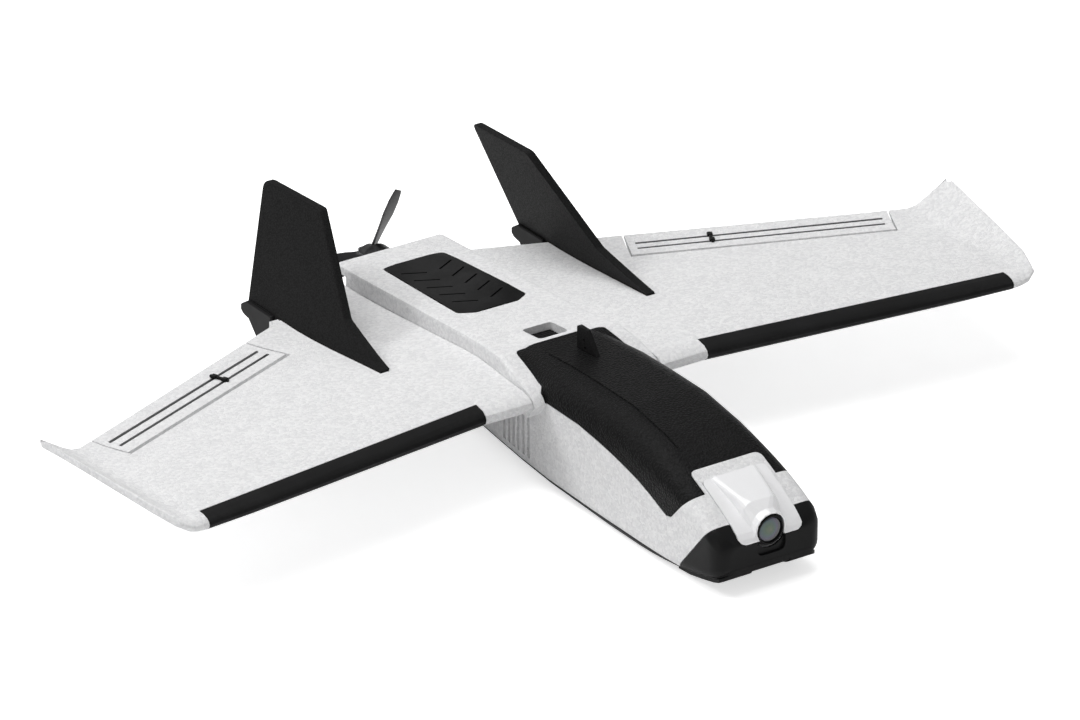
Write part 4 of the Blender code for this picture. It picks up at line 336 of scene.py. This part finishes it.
# ------------------------------------------------------------------ finishes
@dataclass(frozen=True)
class Finish:
    """A surface with two shades, a grain, rubbed edges and a little dust."""

    name: str
    slot: str
    dark: tuple[float, float, float]
    light: tuple[float, float, float]
    grain: Grain
    size: float
    depth: float
    roughness: tuple[float, float]
    metallic: float = 0.0
    specular: float = 0.5
    coat: float = 0.0
    sheen: float = 0.0
    wear: float = 0.3
    worn: tuple[float, float, float] = (0.2, 0.2, 0.2)
    dust: float = 0.05

    def build(self) -> bpy.types.Material:
        """Build the node material.

        Returns:
            The material, made once for each name.
        """
        existing = bpy.data.materials.get(self.name)
        if existing is not None:
            return existing
        made = bpy.data.materials.new(self.name)
        made.use_nodes = True
        wires = Wiring(made.node_tree)
        shader = made.node_tree.nodes["Principled BSDF"]
        place = wires.node("ShaderNodeTexCoord").outputs["Object"]
        grain = wires.node("ShaderNodeGroup", {"node_tree": SHELF.get(self.grain.value)},
                           Vector=place, Size=self.size)
        wear = wires.node("ShaderNodeGroup", {"node_tree": SHELF.get("wear")}, Vector=place,
                          Amount=self.wear)
        dust = wires.node("ShaderNodeGroup", {"node_tree": SHELF.get("dust")}, Vector=place,
                          Amount=self.dust)
        colour = wires.blend(grain.outputs["Shade"], (*self.dark, 1.0), (*self.light, 1.0))
        colour = wires.blend(wear.outputs["Mask"], colour, (*self.worn, 1.0))
        colour = wires.blend(dust.outputs["Mask"], colour, DUST_COLOUR)
        wires.feed(shader.inputs["Base Color"], colour)
        rough = wires.span(grain.outputs["Shade"], 0.0, 1.0, self.roughness[1], self.roughness[0])
        rough = wires.math("MULTIPLY_ADD", dust.outputs["Mask"], DUST_ROUGHNESS, rough)
        wires.feed(shader.inputs["Roughness"], rough)
        bump = wires.node("ShaderNodeBump", Height=grain.outputs["Height"], Strength=1.0,
                          Distance=self.depth)
        wires.feed(shader.inputs["Normal"], bump.outputs["Normal"])
        shader.inputs["Metallic"].default_value = self.metallic
        shader.inputs["Specular IOR Level"].default_value = self.specular
        shader.inputs["Coat Weight"].default_value = self.coat
        shader.inputs["Sheen Weight"].default_value = self.sheen
        return made


@dataclass(frozen=True)
class LensGlassWithPaintedReflection:
    """Front glass of the lens: dark glass with the coating's coloured bloom put on as a painted
    reflection.
    """

    name: str = "lens_glass_painted_reflection"
    slot: str = "lens_glass"
    centre: tuple[float, float, float] = (0.0, -0.199, 0.0309)
    radius: float = 0.0066

    def build(self) -> bpy.types.Material:
        """Build the node material.

        Returns:
            The material.
        """
        made = bpy.data.materials.new(self.name)
        made.use_nodes = True
        wires = Wiring(made.node_tree)
        shader = made.node_tree.nodes["Principled BSDF"]
        place = wires.node("ShaderNodeTexCoord").outputs["Object"]
        centred = wires.node("ShaderNodeVectorMath", {"operation": "SUBTRACT"})
        wires.feed(centred.inputs[0], place)
        wires.feed(centred.inputs[1], self.centre)
        split = wires.node("ShaderNodeSeparateXYZ", Vector=centred.outputs[0])
        flat = wires.node("ShaderNodeCombineXYZ", X=split.outputs["X"], Z=split.outputs["Z"])
        reach = wires.node("ShaderNodeVectorMath", {"operation": "LENGTH"})
        wires.feed(reach.inputs[0], flat.outputs[0])
        # painted reflection: the bloom's centre is shifted to one side, as a reflection would be
        reflection_offset = wires.math("MULTIPLY_ADD", split.outputs["X"], 0.35,
                           wires.math("MULTIPLY", split.outputs["Z"], -0.25))
        level = wires.math("DIVIDE", wires.math("ADD", reach.outputs["Value"], reflection_offset), self.radius)
        # painted reflection: green in the middle, through teal and purple, to dark glass at the rim
        reflection_ramp = wires.node("ShaderNodeValToRGB", Fac=level)
        stops = ((0.0, (0.075, 0.10, 0.045)), (0.30, (0.035, 0.085, 0.040)),
                 (0.55, (0.025, 0.065, 0.075)), (0.78, (0.050, 0.045, 0.095)),
                 (1.0, (0.008, 0.008, 0.012)))
        while len(reflection_ramp.color_ramp.elements) < len(stops):
            reflection_ramp.color_ramp.elements.new(0.5)
        for element, (position, colour) in zip(reflection_ramp.color_ramp.elements, stops):
            element.position = position
            element.color = (*colour, 1.0)
        wires.feed(shader.inputs["Base Color"], reflection_ramp.outputs["Color"])
        shader.inputs["Roughness"].default_value = 0.06
        shader.inputs["Specular IOR Level"].default_value = 0.6
        shader.inputs["Coat Weight"].default_value = 1.0
        shader.inputs["Coat Roughness"].default_value = 0.02
        return made


FOAM = Finish("white_bead_foam", "foam", (0.69, 0.69, 0.70), (0.95, 0.95, 0.95), Grain.BEAD,
              0.0014, 0.00015, (0.62, 0.80), specular=0.25, wear=0.10, worn=(0.86, 0.86, 0.86),
              dust=0.01)
BLACK_FOAM = Finish("pebbled_black_foam", "black_foam", (0.004, 0.004, 0.004),
                    (0.010, 0.010, 0.0105), Grain.PEBBLE, 0.0012, 0.00036, (0.28, 0.42),
                    specular=0.10, wear=0.25, worn=(0.02, 0.02, 0.02), dust=0.002)
FIN_FOAM = Finish("fine_black_foam", "black_foam", (0.008, 0.008, 0.008),
                  (0.016, 0.016, 0.0165), Grain.PEBBLE, 0.0008, 0.00006, (0.46, 0.58),
                  specular=0.07, wear=0.35, worn=(0.03, 0.03, 0.03), dust=0.002)
BLACK_PLASTIC = Finish("satin_black_plastic", "black_plastic", (0.005, 0.005, 0.005),
                       (0.009, 0.009, 0.0095), Grain.SATIN, 0.0005, 0.00002, (0.36, 0.46),
                       specular=0.14, wear=0.25, worn=(0.03, 0.03, 0.03), dust=0.002)
WHITE_PLASTIC = Finish("gloss_white_plastic", "white_plastic", (0.86, 0.86, 0.87),
                       (0.92, 0.92, 0.93), Grain.SATIN, 0.0008, 0.000004, (0.20, 0.28),
                       coat=0.3, wear=0.0, dust=0.01)
CARBON = Finish("carbon_cloth", "carbon", (0.008, 0.008, 0.009), (0.030, 0.030, 0.033),
                Grain.WEAVE, 0.0011, 0.00003, (0.26, 0.40), coat=0.5, wear=0.2,
                worn=(0.05, 0.05, 0.05))
MOULDED_PROP = Finish("glass_filled_black", "carbon", (0.010, 0.010, 0.011),
                      (0.024, 0.024, 0.026), Grain.SATIN, 0.0004, 0.00002, (0.26, 0.38),
                      wear=0.3, worn=(0.06, 0.06, 0.06))
STEEL = Finish("drawn_steel", "steel", (0.48, 0.48, 0.49), (0.62, 0.62, 0.63), Grain.TURNED,
               0.0004, 0.00001, (0.22, 0.34), metallic=1.0, wear=0.3, worn=(0.75, 0.75, 0.75))
WINDING = Finish("enamelled_copper", "winding", (0.40, 0.17, 0.08), (0.68, 0.33, 0.17),
                 Grain.TURNED, 0.0005, 0.00003, (0.28, 0.42), metallic=1.0, wear=0.2,
                 worn=(0.75, 0.45, 0.3))
LAMINATION = Finish("stator_laminations", "winding", (0.020, 0.020, 0.021),
                    (0.045, 0.045, 0.047), Grain.TURNED, 0.0004, 0.00001, (0.28, 0.40),
                    metallic=1.0, wear=0.6, worn=(0.55, 0.55, 0.56))
DARK_ANODISED = Finish("black_anodised_bell", "aluminium", (0.020, 0.020, 0.021),
                       (0.045, 0.045, 0.047), Grain.TURNED, 0.0004, 0.00001, (0.28, 0.40),
                       metallic=1.0, wear=0.6, worn=(0.55, 0.55, 0.56))
NICKEL = Finish("nickel_plate", "magnet", (0.58, 0.58, 0.59), (0.72, 0.72, 0.73), Grain.SATIN,
                0.0006, 0.00001, (0.14, 0.24), metallic=1.0, wear=0.3, worn=(0.8, 0.8, 0.8))
SHRINK_FILM = Finish("blue_shrink_film", "wrap", (0.020, 0.028, 0.075), (0.045, 0.055, 0.13),
                     Grain.SATIN, 0.002, 0.00008, (0.20, 0.34), coat=0.4, wear=0.1,
                     worn=(0.15, 0.16, 0.22))
WEBBING = Finish("woven_webbing", "webbing", (0.012, 0.012, 0.013), (0.050, 0.050, 0.053),
                 Grain.WEAVE, 0.0009, 0.00020, (0.70, 0.90), sheen=0.3, wear=0.1)
SOLDER_MASK = Finish("green_solder_mask", "board", (0.008, 0.035, 0.020),
                     (0.016, 0.060, 0.036), Grain.SATIN, 0.001, 0.00003, (0.28, 0.42),
                     coat=0.3, wear=0.2, worn=(0.5, 0.4, 0.2))
GOLD_PAD = Finish("gilt_pad", "steel", (0.62, 0.42, 0.16), (0.78, 0.56, 0.24), Grain.SATIN,
                  0.0006, 0.00001, (0.20, 0.32), metallic=1.0, wear=0.2, worn=(0.8, 0.65, 0.4))


# ------------------------------------------------------------------ mesh work
def cad_mesh(node: str) -> bmesh.types.BMesh:
    """Copy a CAD node's mesh, with its loose triangles joined and flat areas made whole.

    Args:
        node: The node's name.

    Returns:
        A bmesh of the welded copy.
    """
    bm = bmesh.new()
    bm.from_mesh(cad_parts[node].data)
    bmesh.ops.remove_doubles(bm, verts=bm.verts, dist=MERGE_DISTANCE)
    bmesh.ops.dissolve_limit(bm, angle_limit=FLAT_LIMIT, verts=bm.verts, edges=bm.edges)
    return bm


def finish_mesh(name: str, bm: bmesh.types.BMesh) -> bpy.types.Object:
    """Turn a bmesh into a linked object.

    Args:
        name: The object's name.
        bm: The mesh, freed here.

    Returns:
        The object, at the origin.
    """
    mesh = bpy.data.meshes.new(name)
    bm.to_mesh(mesh)
    bm.free()
    made = bpy.data.objects.new(name, mesh)
    bpy.context.scene.collection.objects.link(made)
    return made


def settle(piece: bpy.types.Object) -> bpy.types.Object:
    """Apply a piece's modifiers to its mesh.

    Args:
        piece: The object.

    Returns:
        The same object with a plain mesh.
    """
    bpy.context.view_layer.update()
    graph = bpy.context.evaluated_depsgraph_get()
    mesh = bpy.data.meshes.new_from_object(piece.evaluated_get(graph), depsgraph=graph)
    mesh.name = piece.name
    piece.modifiers.clear()
    piece.data = mesh
    return piece


def dress(piece: bpy.types.Object, finish: Finish | LensGlassWithPaintedReflection) -> None:
    """Give a piece one finish all over.

    Args:
        piece: The object.
        finish: The finish to build and assign.
    """
    piece.data.materials.clear()
    piece.data.materials.append(finish.build())


class BlockPatterns:
    """Geometry Nodes trees that set out equal rounded blocks in a ring or in a row."""

    LABELS = (("Count", "NodeSocketInt"), ("Size", "NodeSocketVector"),
              ("Place", "NodeSocketVector"), ("Step", "NodeSocketVector"),
              ("Radius", "NodeSocketFloat"), ("Finish", "NodeSocketMaterial"))

    def start(self, name: str) -> tuple[Wiring, bpy.types.Node, bpy.types.NodeSocket]:
        """Start a tree with its named inputs and the rounded block.

        Args:
            name: The tree's name.

        Returns:
            The wiring, the input node and the block's mesh socket.
        """
        tree = bpy.data.node_groups.new(name, "GeometryNodeTree")
        tree.interface.new_socket("Geometry", in_out="INPUT", socket_type="NodeSocketGeometry")
        for label, kind in self.LABELS:
            tree.interface.new_socket(label, in_out="INPUT", socket_type=kind)
        tree.interface.new_socket("Geometry", in_out="OUTPUT", socket_type="NodeSocketGeometry")
        wires = Wiring(tree)
        source = wires.node("NodeGroupInput")
        block = wires.node("GeometryNodeMeshCube", Size=source.outputs["Size"])
        rounded = wires.node("GeometryNodeSubdivisionSurface", Mesh=block.outputs["Mesh"],
                             Level=2, Edge_Crease=0.8)
        return wires, source, rounded.outputs["Mesh"]

    def close(self, wires: Wiring, source: bpy.types.Node,
              geometry: bpy.types.NodeSocket) -> bpy.types.NodeTree:
        """Make the instances real, paint them and end the tree.

        Args:
            wires: The tree's wiring.
            source: The input node.
            geometry: The instances.

        Returns:
            The finished tree.
        """
        real = wires.node("GeometryNodeRealizeInstances", Geometry=geometry)
        painted = wires.node("GeometryNodeSetMaterial", Geometry=real.outputs["Geometry"],
                             Material=source.outputs["Finish"])
        wires.node("NodeGroupOutput", Geometry=painted.outputs["Geometry"])
        return wires.tree

    def ring(self) -> bpy.types.NodeTree:
        """Blocks round an axis that runs along the craft.

        Returns:
            The finished tree.
        """
        wires, source, block = self.start("Ring Of Blocks")
        circle = wires.node("GeometryNodeMeshCircle", Vertices=source.outputs["Count"],
                            Radius=source.outputs["Radius"])
        turn = wires.math("DIVIDE", math.tau, source.outputs["Count"])
        angle = wires.math("MULTIPLY", wires.node("GeometryNodeInputIndex").outputs[0], turn)
        spin = wires.node("ShaderNodeCombineXYZ", Z=angle)
        placed = wires.node("GeometryNodeInstanceOnPoints", Points=circle.outputs["Mesh"],
                            Instance=block, Rotation=spin.outputs[0])
        stood = wires.node("GeometryNodeTransform", Geometry=placed.outputs["Instances"],
                           Translation=source.outputs["Place"], Rotation=(0.5 * math.pi, 0.0, 0.0))
        return self.close(wires, source, stood.outputs["Geometry"])

    def row(self) -> bpy.types.NodeTree:
        """Blocks along a straight line.

        Returns:
            The finished tree.
        """
        wires, source, block = self.start("Row Of Blocks")
        line = wires.node("GeometryNodeMeshLine", Count=source.outputs["Count"],
                          Start_Location=source.outputs["Place"], Offset=source.outputs["Step"])
        placed = wires.node("GeometryNodeInstanceOnPoints", Points=line.outputs["Mesh"],
                            Instance=block)
        return self.close(wires, source, placed.outputs["Instances"])


@dataclass
class Assembly:
    """A group of pieces that share one body."""

    body: str

    def shape(self, node: str, bm: bmesh.types.BMesh) -> None:
        """Change a copied mesh before its edges are rounded; most pieces need nothing."""

    def soften(self, node: str, finish: Finish | LensGlassWithPaintedReflection, edge: float,
               crease: float = SMOOTH_LIMIT) -> bpy.types.Object:
        """Stand a welded copy with rounded edges in place of a CAD node.

        Args:
            node: The node that it replaces.
            finish: The piece's finish.
            edge: Width of the rounded edges, in metres.
            crease: Edges with a larger angle are rounded, in radians.

        Returns:
            The finished piece.
        """
        bm = cad_mesh(node)
        self.shape(node, bm)
        piece = finish_mesh(node + "_skin", bm)
        if edge > NO_EDGE:
            bevel = piece.modifiers.new("edges", "BEVEL")
            bevel.width = edge
            bevel.segments = ROUNDING_FACES
            bevel.limit_method = "ANGLE"
            bevel.angle_limit = crease
            bevel.use_clamp_overlap = True
        settle(piece)
        piece.data.shade_smooth()
        piece.data.set_sharp_from_angle(angle=crease + SHARP_MARGIN)
        weighted = piece.modifiers.new("normals", "WEIGHTED_NORMAL")
        weighted.keep_sharp = True
        weighted.weight = NORMAL_WEIGHT
        settle(piece)
        dress(piece, finish)
        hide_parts(node)
        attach(piece, self.body)
        LOG.info("%s: %d faces on %s", piece.name, len(piece.data.polygons), self.body)
        return piece

    def repeat(self, name: str, tree: bpy.types.NodeTree, finish: Finish,
               **values: object) -> bpy.types.Object:
        """Set out equal blocks with a Geometry Nodes tree and keep the plain mesh.

        Args:
            name: The piece's name.
            tree: The ring or the row.
            finish: The piece's finish.
            **values: The tree's inputs by name.

        Returns:
            The finished piece.
        """
        piece = finish_mesh(name, bmesh.new())
        pattern = piece.modifiers.new("pattern", "NODES")
        pattern.node_group = tree
        values["Finish"] = finish.build()
        for item in tree.interface.items_tree:
            if item.in_out == "INPUT" and item.name in values:
                pattern[item.identifier] = values[item.name]
        settle(piece)
        piece.data.set_sharp_from_angle(angle=SMOOTH_LIMIT)
        dress(piece, finish)
        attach(piece, self.body)
        LOG.info("%s: %d faces on %s", name, len(piece.data.polygons), self.body)
        return piece

    def repaint(self, node: str, finish: Finish | LensGlassWithPaintedReflection) -> None:
        """Give a CAD node a better material where its shape is right.

        Args:
            node: The node's name.
            finish: Its finish.
        """
        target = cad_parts[node]
        target.data.materials.clear()
        target.data.materials.append(finish.build())
        LOG.info("%s: repainted", node)


# ------------------------------------------------------------------ sub-assemblies
@dataclass
class Pod(Assembly):
    """The foam pod and what is let into its outside."""

    body: str = "airframe"
    foam_edge: float = 0.0008
    plastic_edge: float = SOFT_EDGE
    bay_low: tuple[float, float, float] = (-0.0127, -0.0125, 0.0255)
    bay_high: tuple[float, float, float] = (0.0127, 0.1155, 0.0440)
    rim_top: float = 0.0052
    rim_skin: float = 0.00035
    slats: int = 9
    slat: tuple[float, float, float] = (0.0182, 0.0013, 0.0010)
    first_slat: tuple[float, float, float] = (0.0, -0.0087, 0.0569)
    slat_step: tuple[float, float, float] = (0.0, 0.0019, -0.00012)
    rim_steepest: float = 0.93

    def paint_bay_shade(self, shell: bpy.types.Object) -> None:
        """Paint the faces inside the deck's bay with black foam as painted shade, which shows through
        inlet and slots.

        Args:
            shell: The foam shell.
        """
        # painted shade: the bay's inner faces get the black foam material in place of the shade inside
        # the cavity
        shell.data.materials.append(BLACK_FOAM.build())
        for face in shell.data.polygons:
            inside = all(low <= value <= high for low, value, high
                         in zip(self.bay_low, face.center, self.bay_high))
            if inside:
                face.material_index = 1

    def inlet_grille(self) -> bpy.types.Object:
        """Set the black slats of the grille across the air inlet.

        Returns:
            The grille.
        """
        return self.repeat("inlet_grille", BlockPatterns().row(), BLACK_PLASTIC,
                           Count=self.slats, Size=self.slat, Place=self.first_slat,
                           Step=self.slat_step)

    def plate_rim(self) -> bpy.types.Object:
        """Turn the belly plate's edge up round the pod's lower corners.

        Returns:
            The rim, a thin band that follows the foam.
        """
        bm = cad_mesh("fuselage_shell")
        everything = bm.verts[:] + bm.edges[:] + bm.faces[:]
        bmesh.ops.bisect_plane(bm, geom=everything, plane_co=(0.0, 0.0, self.rim_top),
                               plane_no=(0.0, 0.0, 1.0), clear_outer=True)
        away = [face for face in bm.faces if face.normal.z < -self.rim_steepest
                or abs(face.normal.y) > self.rim_steepest or face.normal.z > 0.0]
        bmesh.ops.delete(bm, geom=away, context="FACES")
        rim = finish_mesh("belly_plate_rim", bm)
        skin = rim.modifiers.new("skin", "SOLIDIFY")
        skin.thickness = self.rim_skin
        skin.offset = 1.0
        settle(rim)
        rim.data.set_sharp_from_angle(angle=SMOOTH_LIMIT)
        dress(rim, BLACK_PLASTIC)
        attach(rim, self.body)
        LOG.info("%s: %d faces on %s", rim.name, len(rim.data.polygons), self.body)
        return rim

    def build(self) -> None:
        """Build the pod's pieces."""
        self.plate_rim()
        self.inlet_grille()
        self.paint_bay_shade(self.soften("fuselage_shell", FOAM, self.foam_edge))
        self.soften("nose_bumper", BLACK_PLASTIC, self.plastic_edge)
        self.soften("belly_skid_plate", BLACK_PLASTIC, self.plastic_edge)
        self.soften("vent_cover", BLACK_PLASTIC, THIN_EDGE)
        self.repaint("shell_magnet", NICKEL)


@dataclass
class Hatch(Assembly):
    """The lift-off hatch with its tab and magnet."""

    body: str = "hatch"
    edge: float = 0.0006
    panel_half: float = 0.0172
    panel_front: float = -0.1505
    panel_rise: float = 0.00046
    fade_start: float = -0.112
    fade_length: float = 0.032

    def shape(self, node: str, bm: bmesh.types.BMesh) -> None:
        """Let the raised middle panel die out towards the nose.

        Args:
            node: The node that the mesh was copied from.
            bm: The mesh.
        """
        if node != "battery_hatch":
            return
        highest: dict[tuple[int, int], bmesh.types.BMVert] = {}
        for vert in bm.verts:
            if abs(vert.co.x) <= self.panel_half and vert.co.y >= self.panel_front:
                place = (round(vert.co.x * PLACES_PER_METRE),
                         round(vert.co.y * PLACES_PER_METRE))
                if place not in highest or vert.co.z > highest[place].co.z:
                    highest[place] = vert
        for vert in highest.values():
            share = min(max((self.fade_start - vert.co.y) / self.fade_length, 0.0), 1.0)
            vert.co.z -= self.panel_rise * share * share * (3.0 - 2.0 * share)

    def build(self) -> None:
        """Build the hatch's pieces."""
        self.soften("battery_hatch", BLACK_FOAM, self.edge)
        self.soften("hatch_pull_tab", FIN_FOAM, SOFT_EDGE)
        self.repaint("hatch_magnet", NICKEL)


@dataclass
class Camera(Assembly):
    """Nose cover, camera body and lens."""

    body: str = "airframe"
    edge: float = SOFT_EDGE
    facet: float = math.radians(9)

    def build(self) -> None:
        """Build the camera's pieces."""
        self.soften("camera_cover", WHITE_PLASTIC, self.edge, self.facet)
        self.soften("camera_lens_barrel", BLACK_PLASTIC, FINE_EDGE)
        self.soften("camera_lens_glass", LensGlassWithPaintedReflection(), NO_EDGE)
        self.repaint("camera_body", BLACK_PLASTIC)


@dataclass
class Wing(Assembly):
    """One wing with its guard, fin and the fin's wedge."""

    body: str = "airframe"
    side: str = "left"
    foam_edge: float = 0.0007

    def build(self) -> None:
        """Build the wing's fixed pieces."""
        self.soften(self.side + "_wing_panel", FOAM, self.foam_edge)
        self.soften(self.side + "_leading_edge_guard", BLACK_PLASTIC, THIN_EDGE)
        self.soften(self.side + "_fin", FIN_FOAM, SOFT_EDGE)
        self.soften(self.side + "_fin_bracket", BLACK_PLASTIC, THIN_EDGE)
        self.repaint(self.side + "_servo", BLACK_PLASTIC)


@dataclass
class Elevon(Assembly):
    """One elevon with its strips, horn and clip."""

    side: str = "left"

    def build(self) -> None:
        """Build the elevon's pieces."""
        self.soften(self.side + "_elevon", FOAM, THIN_EDGE)
        for place in ("front", "rear"):
            self.repaint(self.side + "_elevon_strip_" + place, CARBON)
        self.repaint(self.side + "_control_horn", BLACK_PLASTIC)
        self.soften(self.side + "_horn_clip", BLACK_PLASTIC, FINE_EDGE)


@dataclass
class Linkage:
    """One servo arm and its pushrod."""

    side: str = "left"

    def build(self) -> None:
        """Build the moving links."""
        Assembly(self.side + "_arm").soften(self.side + "_servo_arm", WHITE_PLASTIC, FINE_EDGE)
        Assembly(self.side + "_rod").soften(self.side + "_pushrod", STEEL, NO_EDGE)


@dataclass
class Power(Assembly):
    """Motor, mount and propeller."""

    body: str = "rotor"
    magnets: int = 14
    magnet: tuple[float, float, float] = (0.0008, 0.0026, 0.0080)
    magnet_radius: float = 0.00765
    magnet_shift: float = 0.0010
    coils: int = 9
    coil: tuple[float, float, float] = (0.0034, 0.0030, 0.0108)
    coil_radius: float = 0.0047
    coil_shift: float = 0.0022

    def build(self) -> None:
        """Build the drive."""
        fixed = Assembly("airframe")
        fixed.soften("motor_mount", BLACK_PLASTIC, THIN_EDGE)
        fixed.soften("motor_base", LAMINATION, FINE_EDGE)
        low, high = (Vector(corner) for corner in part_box("motor_bell"))
        middle = 0.5 * (low + high)
        ring = BlockPatterns().ring()
        self.repeat("bell_magnets", ring, NICKEL, Count=self.magnets, Size=self.magnet,
                    Radius=self.magnet_radius, Place=(middle.x, middle.y - self.magnet_shift, middle.z))
        fixed.repeat("stator_coils", ring, WINDING, Count=self.coils, Size=self.coil,
                     Radius=self.coil_radius, Place=(middle.x, middle.y - self.coil_shift, middle.z))
        self.soften("motor_bell", DARK_ANODISED, FINE_EDGE)
        self.soften("motor_shaft", STEEL, HAIR_EDGE)
        self.soften("propeller", MOULDED_PROP, NO_EDGE)
        self.soften("prop_nut", DARK_ANODISED, FINE_EDGE)


@dataclass
class Equipment(Assembly):
    """What the bays hold, and the spar."""

    body: str = "airframe"
    pad: tuple[float, float, float] = (0.0011, 0.0014, 0.0004)
    pad_pitch: float = 0.0022
    pad_inset: float = 0.0012
    board_thickness: float = 0.0016

    def pads(self, node: str, row: bpy.types.NodeTree) -> None:
        """Lay rows of solder pads along both long edges of a board.

        Args:
            node: The board.
            row: The tree that sets out a row.
        """
        low, high = (Vector(corner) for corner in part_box(node))
        count = int((high.y - low.y - 2.0 * self.pad_inset) / self.pad_pitch)
        start = 0.5 * (low.y + high.y - (count - 1) * self.pad_pitch)
        top = low.z + self.board_thickness
        for side, edge in (("left", high.x - self.pad_inset), ("right", low.x + self.pad_inset)):
            self.repeat(f"{node}_{side}_pads", row, GOLD_PAD, Count=count, Size=self.pad,
                        Place=(edge, start, top), Step=(0.0, self.pad_pitch, 0.0))

    def build(self) -> None:
        """Build the equipment."""
        row = BlockPatterns().row()
        self.soften("battery_pack", SHRINK_FILM, NO_EDGE)
        self.soften("battery_strap", WEBBING, FINE_EDGE)
        for node in ("receiver", "flight_controller", "speed_controller", "video_transmitter"):
            self.soften(node, SOLDER_MASK, FINE_EDGE)
            self.pads(node, row)
        self.soften("main_spar", CARBON, NO_EDGE)


# ------------------------------------------------------------------ studio
@dataclass(frozen=True)
class Lamp:
    """One square soft light."""

    name: str
    place: tuple[float, float, float]
    size: float
    power: float


LAMPS = (Lamp("overhead", (-0.3, 0.3, 2.4), 1.8, 36.0),
         Lamp("behind_left", (-1.5, 1.1, 1.7), 0.6, 15.0),
         Lamp("front_left", (-2.2, -1.6, 0.9), 1.2, 5.0))


@dataclass
class Studio:
    """Pale floor, soft lights, and the camera."""

    azimuth: float = math.radians(-34.0)
    elevation: float = math.radians(25.75)
    distance: float = 3.9825
    focal_length: float = 256.7
    sensor: float = 36.0
    target: tuple[float, float, float] = (0.0, 0.075, 0.0455)
    slide: float = 0.0399
    rise: float = -0.0284
    floor_size: float = 30.0
    floor_shade: float = 0.92
    floor_roughness: float = 0.9
    floor_glow: float = 0.05
    floor_lift: float = 0.62
    sky: float = 0.34

    def camera(self) -> None:
        """Place the camera."""
        back = Vector((math.sin(self.azimuth) * math.cos(self.elevation),
                       -math.cos(self.azimuth) * math.cos(self.elevation),
                       math.sin(self.elevation)))
        right = Vector((0.0, 0.0, 1.0)).cross(back).normalized()
        above = back.cross(right)
        data = bpy.data.cameras.new("camera")
        data.lens = self.focal_length
        data.sensor_width = self.sensor
        data.clip_end = 4.0 * self.floor_size
        data.dof.use_dof = False
        camera = bpy.data.objects.new("camera", data)
        camera.rotation_mode = "QUATERNION"
        camera.rotation_quaternion = (-back).to_track_quat("-Z", "Y")
        camera.location = (Vector(self.target) + back * self.distance + right * self.slide
                           + above * self.rise)
        bpy.context.scene.collection.objects.link(camera)
        bpy.context.scene.camera = camera

    def floor(self) -> None:
        """Lay a plain pale floor."""
        bm = bmesh.new()
        bmesh.ops.create_grid(bm, x_segments=1, y_segments=1, size=0.5 * self.floor_size)
        floor = finish_mesh("floor", bm)
        made = bpy.data.materials.new("pale_floor")
        made.use_nodes = True
        wires = Wiring(made.node_tree)
        shader = made.node_tree.nodes["Principled BSDF"]
        shader.inputs["Base Color"].default_value = (*(self.floor_shade,) * 3, 1.0)
        shader.inputs["Roughness"].default_value = self.floor_roughness
        shader.inputs["Specular IOR Level"].default_value = 0.0
        shader.inputs["Emission Strength"].default_value = 1.0
        seen = wires.node("ShaderNodeLightPath").outputs["Is Camera Ray"]
        glow = wires.blend(seen, (*(self.floor_glow,) * 3, 1.0), (*(self.floor_lift,) * 3, 1.0))
        wires.feed(shader.inputs["Emission Color"], glow)
        floor.data.materials.append(made)

    def light(self, lamp: Lamp) -> None:
        """Hang one soft light that faces the craft.

        Args:
            lamp: Its name, place, size and power.
        """
        data = bpy.data.lights.new(lamp.name, "AREA")
        data.shape = "SQUARE"
        data.size = lamp.size
        data.energy = lamp.power
        hung = bpy.data.objects.new(lamp.name, data)
        hung.location = lamp.place
        hung.rotation_mode = "QUATERNION"
        aim = Vector(self.target) - Vector(lamp.place)
        hung.rotation_quaternion = aim.to_track_quat("-Z", "Y")
        bpy.context.scene.collection.objects.link(hung)

    def build(self) -> None:
        """Build the studio."""
        self.camera()
        self.floor()
        world = bpy.data.worlds.new("studio")
        world.use_nodes = True
        backdrop = world.node_tree.nodes["Background"]
        backdrop.inputs["Color"].default_value = (1.0, 1.0, 1.0, 1.0)
        backdrop.inputs["Strength"].default_value = self.sky
        bpy.context.scene.world = world
        bpy.context.scene.view_settings.view_transform = "Standard"
        for lamp in LAMPS:
            self.light(lamp)


def main() -> None:
    """Build every sub-assembly, then the studio."""
    logging.basicConfig(level=logging.INFO, format="%(name)s %(message)s")
    Pod().build()
    Hatch().build()
    Camera().build()
    for side in ("left", "right"):
        Wing(side=side).build()
        Elevon(body=side + "_elevon_panel", side=side).build()
        Linkage(side=side).build()
    Power().build()
    Equipment().build()
    Studio().build()


if __name__ == "__main__":
    main()
